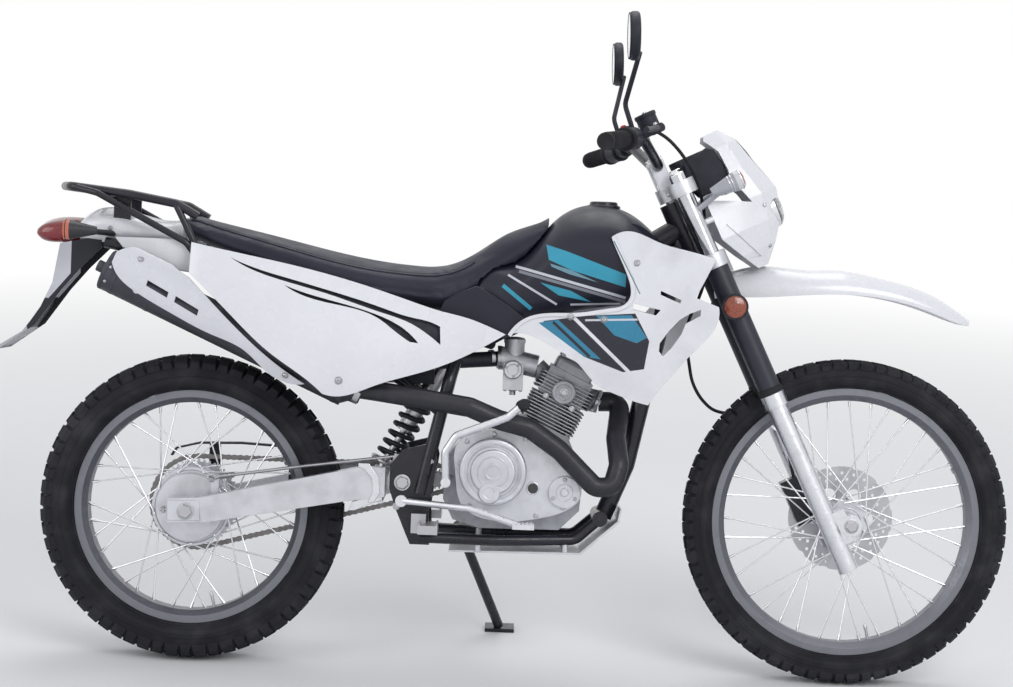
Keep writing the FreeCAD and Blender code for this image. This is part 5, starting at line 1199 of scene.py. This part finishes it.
for sign in SIDES:
    screw(*on_panel("tail_cover", -180, 892, sign), 4.4)
piece("tail_screws", "steel")
indicator_rings("rear_indicator_rims", UPRIGHT, "black",
                ((-258, 20.0, 0.9, 36, 6), (-243, 16.6, 0.9, 36, 6), (-233, 14.4, 0.9, 36, 6)), -150, 884)

seat()
for wheel in WHEELS:
    tyre(wheel)
    wheel_trim(wheel)
drive_chain()
shock()

# Floor, light and camera


def background_ray(tree):
    """One where the camera, a mirror or a glass looks at the background."""
    rays = node(tree, "LightPath", {}).outputs
    return maths("MAXIMUM", maths("MAXIMUM", rays["Is Camera Ray"], rays["Is Glossy Ray"]),
                 rays["Is Transmission Ray"])


def blended(tree, factor, near, far, output):
    """Carries one shader into another and on to the tree's output."""
    blend = node(tree, "MixShader", {0: factor, 1: near, 2: far})
    feed(tree.nodes[output].inputs["Surface"], blend.outputs["Shader"])


def studio():
    """A pale floor that fades into a white surround."""
    bpy.ops.mesh.primitive_plane_add(size=80, location=(0, 0, 0))
    floor = bpy.context.object
    floor.name = "floor"
    mat, tree, bsdf = shader((0.86, 0.86, 0.86), 0.75)
    feed(bsdf.inputs["Base Color"], mix(speckle(tree, 2, 3), (0.86, 0.86, 0.86), (0.84, 0.84, 0.84)))
    white = node(tree, "Emission", {"Color": (1, 1, 1, 1)})
    point = node(tree, "SeparateXYZ", {"Vector": place(tree)})
    squares = [maths("MULTIPLY", point.outputs[axis], point.outputs[axis]) for axis in "XY"]
    reach = maths("SQRT", maths("ADD", *squares), 0)
    fade = maths("MULTIPLY", ramp(reach, 1.9, 5.0), background_ray(tree))
    blended(tree, fade, bsdf.outputs["BSDF"], white.outputs["Emission"], "Material Output")
    dress(floor, mat)
    world = bpy.data.worlds.new("surround")
    world.use_nodes = True
    tree = world.node_tree
    base = tree.nodes["Background"]
    base.inputs["Color"].default_value = (0.90, 0.93, 1.0, 1)
    base.inputs["Strength"].default_value = 0.45
    plain = node(tree, "Background", {"Color": (1, 1, 1, 1), "Strength": 1.0})
    blended(tree, background_ray(tree), base.outputs["Background"], plain.outputs["Background"],
            "World Output")
    bpy.context.scene.world = world


def softbox(name, location, target, size, power):
    """A square lamp aimed at a point."""
    data = bpy.data.lights.new(name, "AREA")
    data.shape = "SQUARE"
    data.size = size
    data.energy = power
    lamp = bpy.data.objects.new(name, data)
    lamp.location = location
    aim = Vector(target) - Vector(location)
    lamp.rotation_euler = aim.to_track_quat("-Z", "Y").to_euler()
    bpy.context.scene.collection.objects.link(lamp)


studio()
softbox("key", (2.2, -3.6, 3.6), (0, 0, 0.5), 2.6, 105)
softbox("fill", (-3.6, -2.4, 2.2), (0, 0, 0.6), 2.6, 42)
softbox("top", (0, 1.6, 4.2), (0, 0, 0.5), 3.0, 60)

# The photograph's camera: eye, picture width and focal length in pixels, and the pixel that
# the straight-across direction lands on
EYE = (0.623, -5.0, 0.837)
ROLL = radians(2.29)
PICTURE = (1013, 687)
FOCAL = 2392
ACROSS_PIXEL = (500, 270)


def photograph_camera():
    """The camera that the photograph was taken with."""
    right = Vector((cos(ROLL), 0, sin(ROLL)))
    up = Vector((-sin(ROLL), 0, cos(ROLL)))
    shift_right = PICTURE[0] / 2 - ACROSS_PIXEL[0]
    shift_down = PICTURE[1] / 2 - ACROSS_PIXEL[1]
    ahead = (LEFT * FOCAL + right * shift_right - up * shift_down).normalized()
    right = ahead.cross(up).normalized()
    up = right.cross(ahead)
    turn = Matrix((right, up, -ahead)).transposed().to_4x4()
    data = bpy.data.cameras.new("camera")
    data.sensor_width = 36
    data.lens = FOCAL * data.sensor_width / PICTURE[0]
    camera = bpy.data.objects.new("camera", data)
    camera.matrix_world = UPRIGHT_TO_ROW @ Matrix.Translation(EYE) @ turn
    bpy.context.scene.collection.objects.link(camera)
    bpy.context.scene.camera = camera


photograph_camera()
bpy.context.scene.view_settings.view_transform = "Standard"
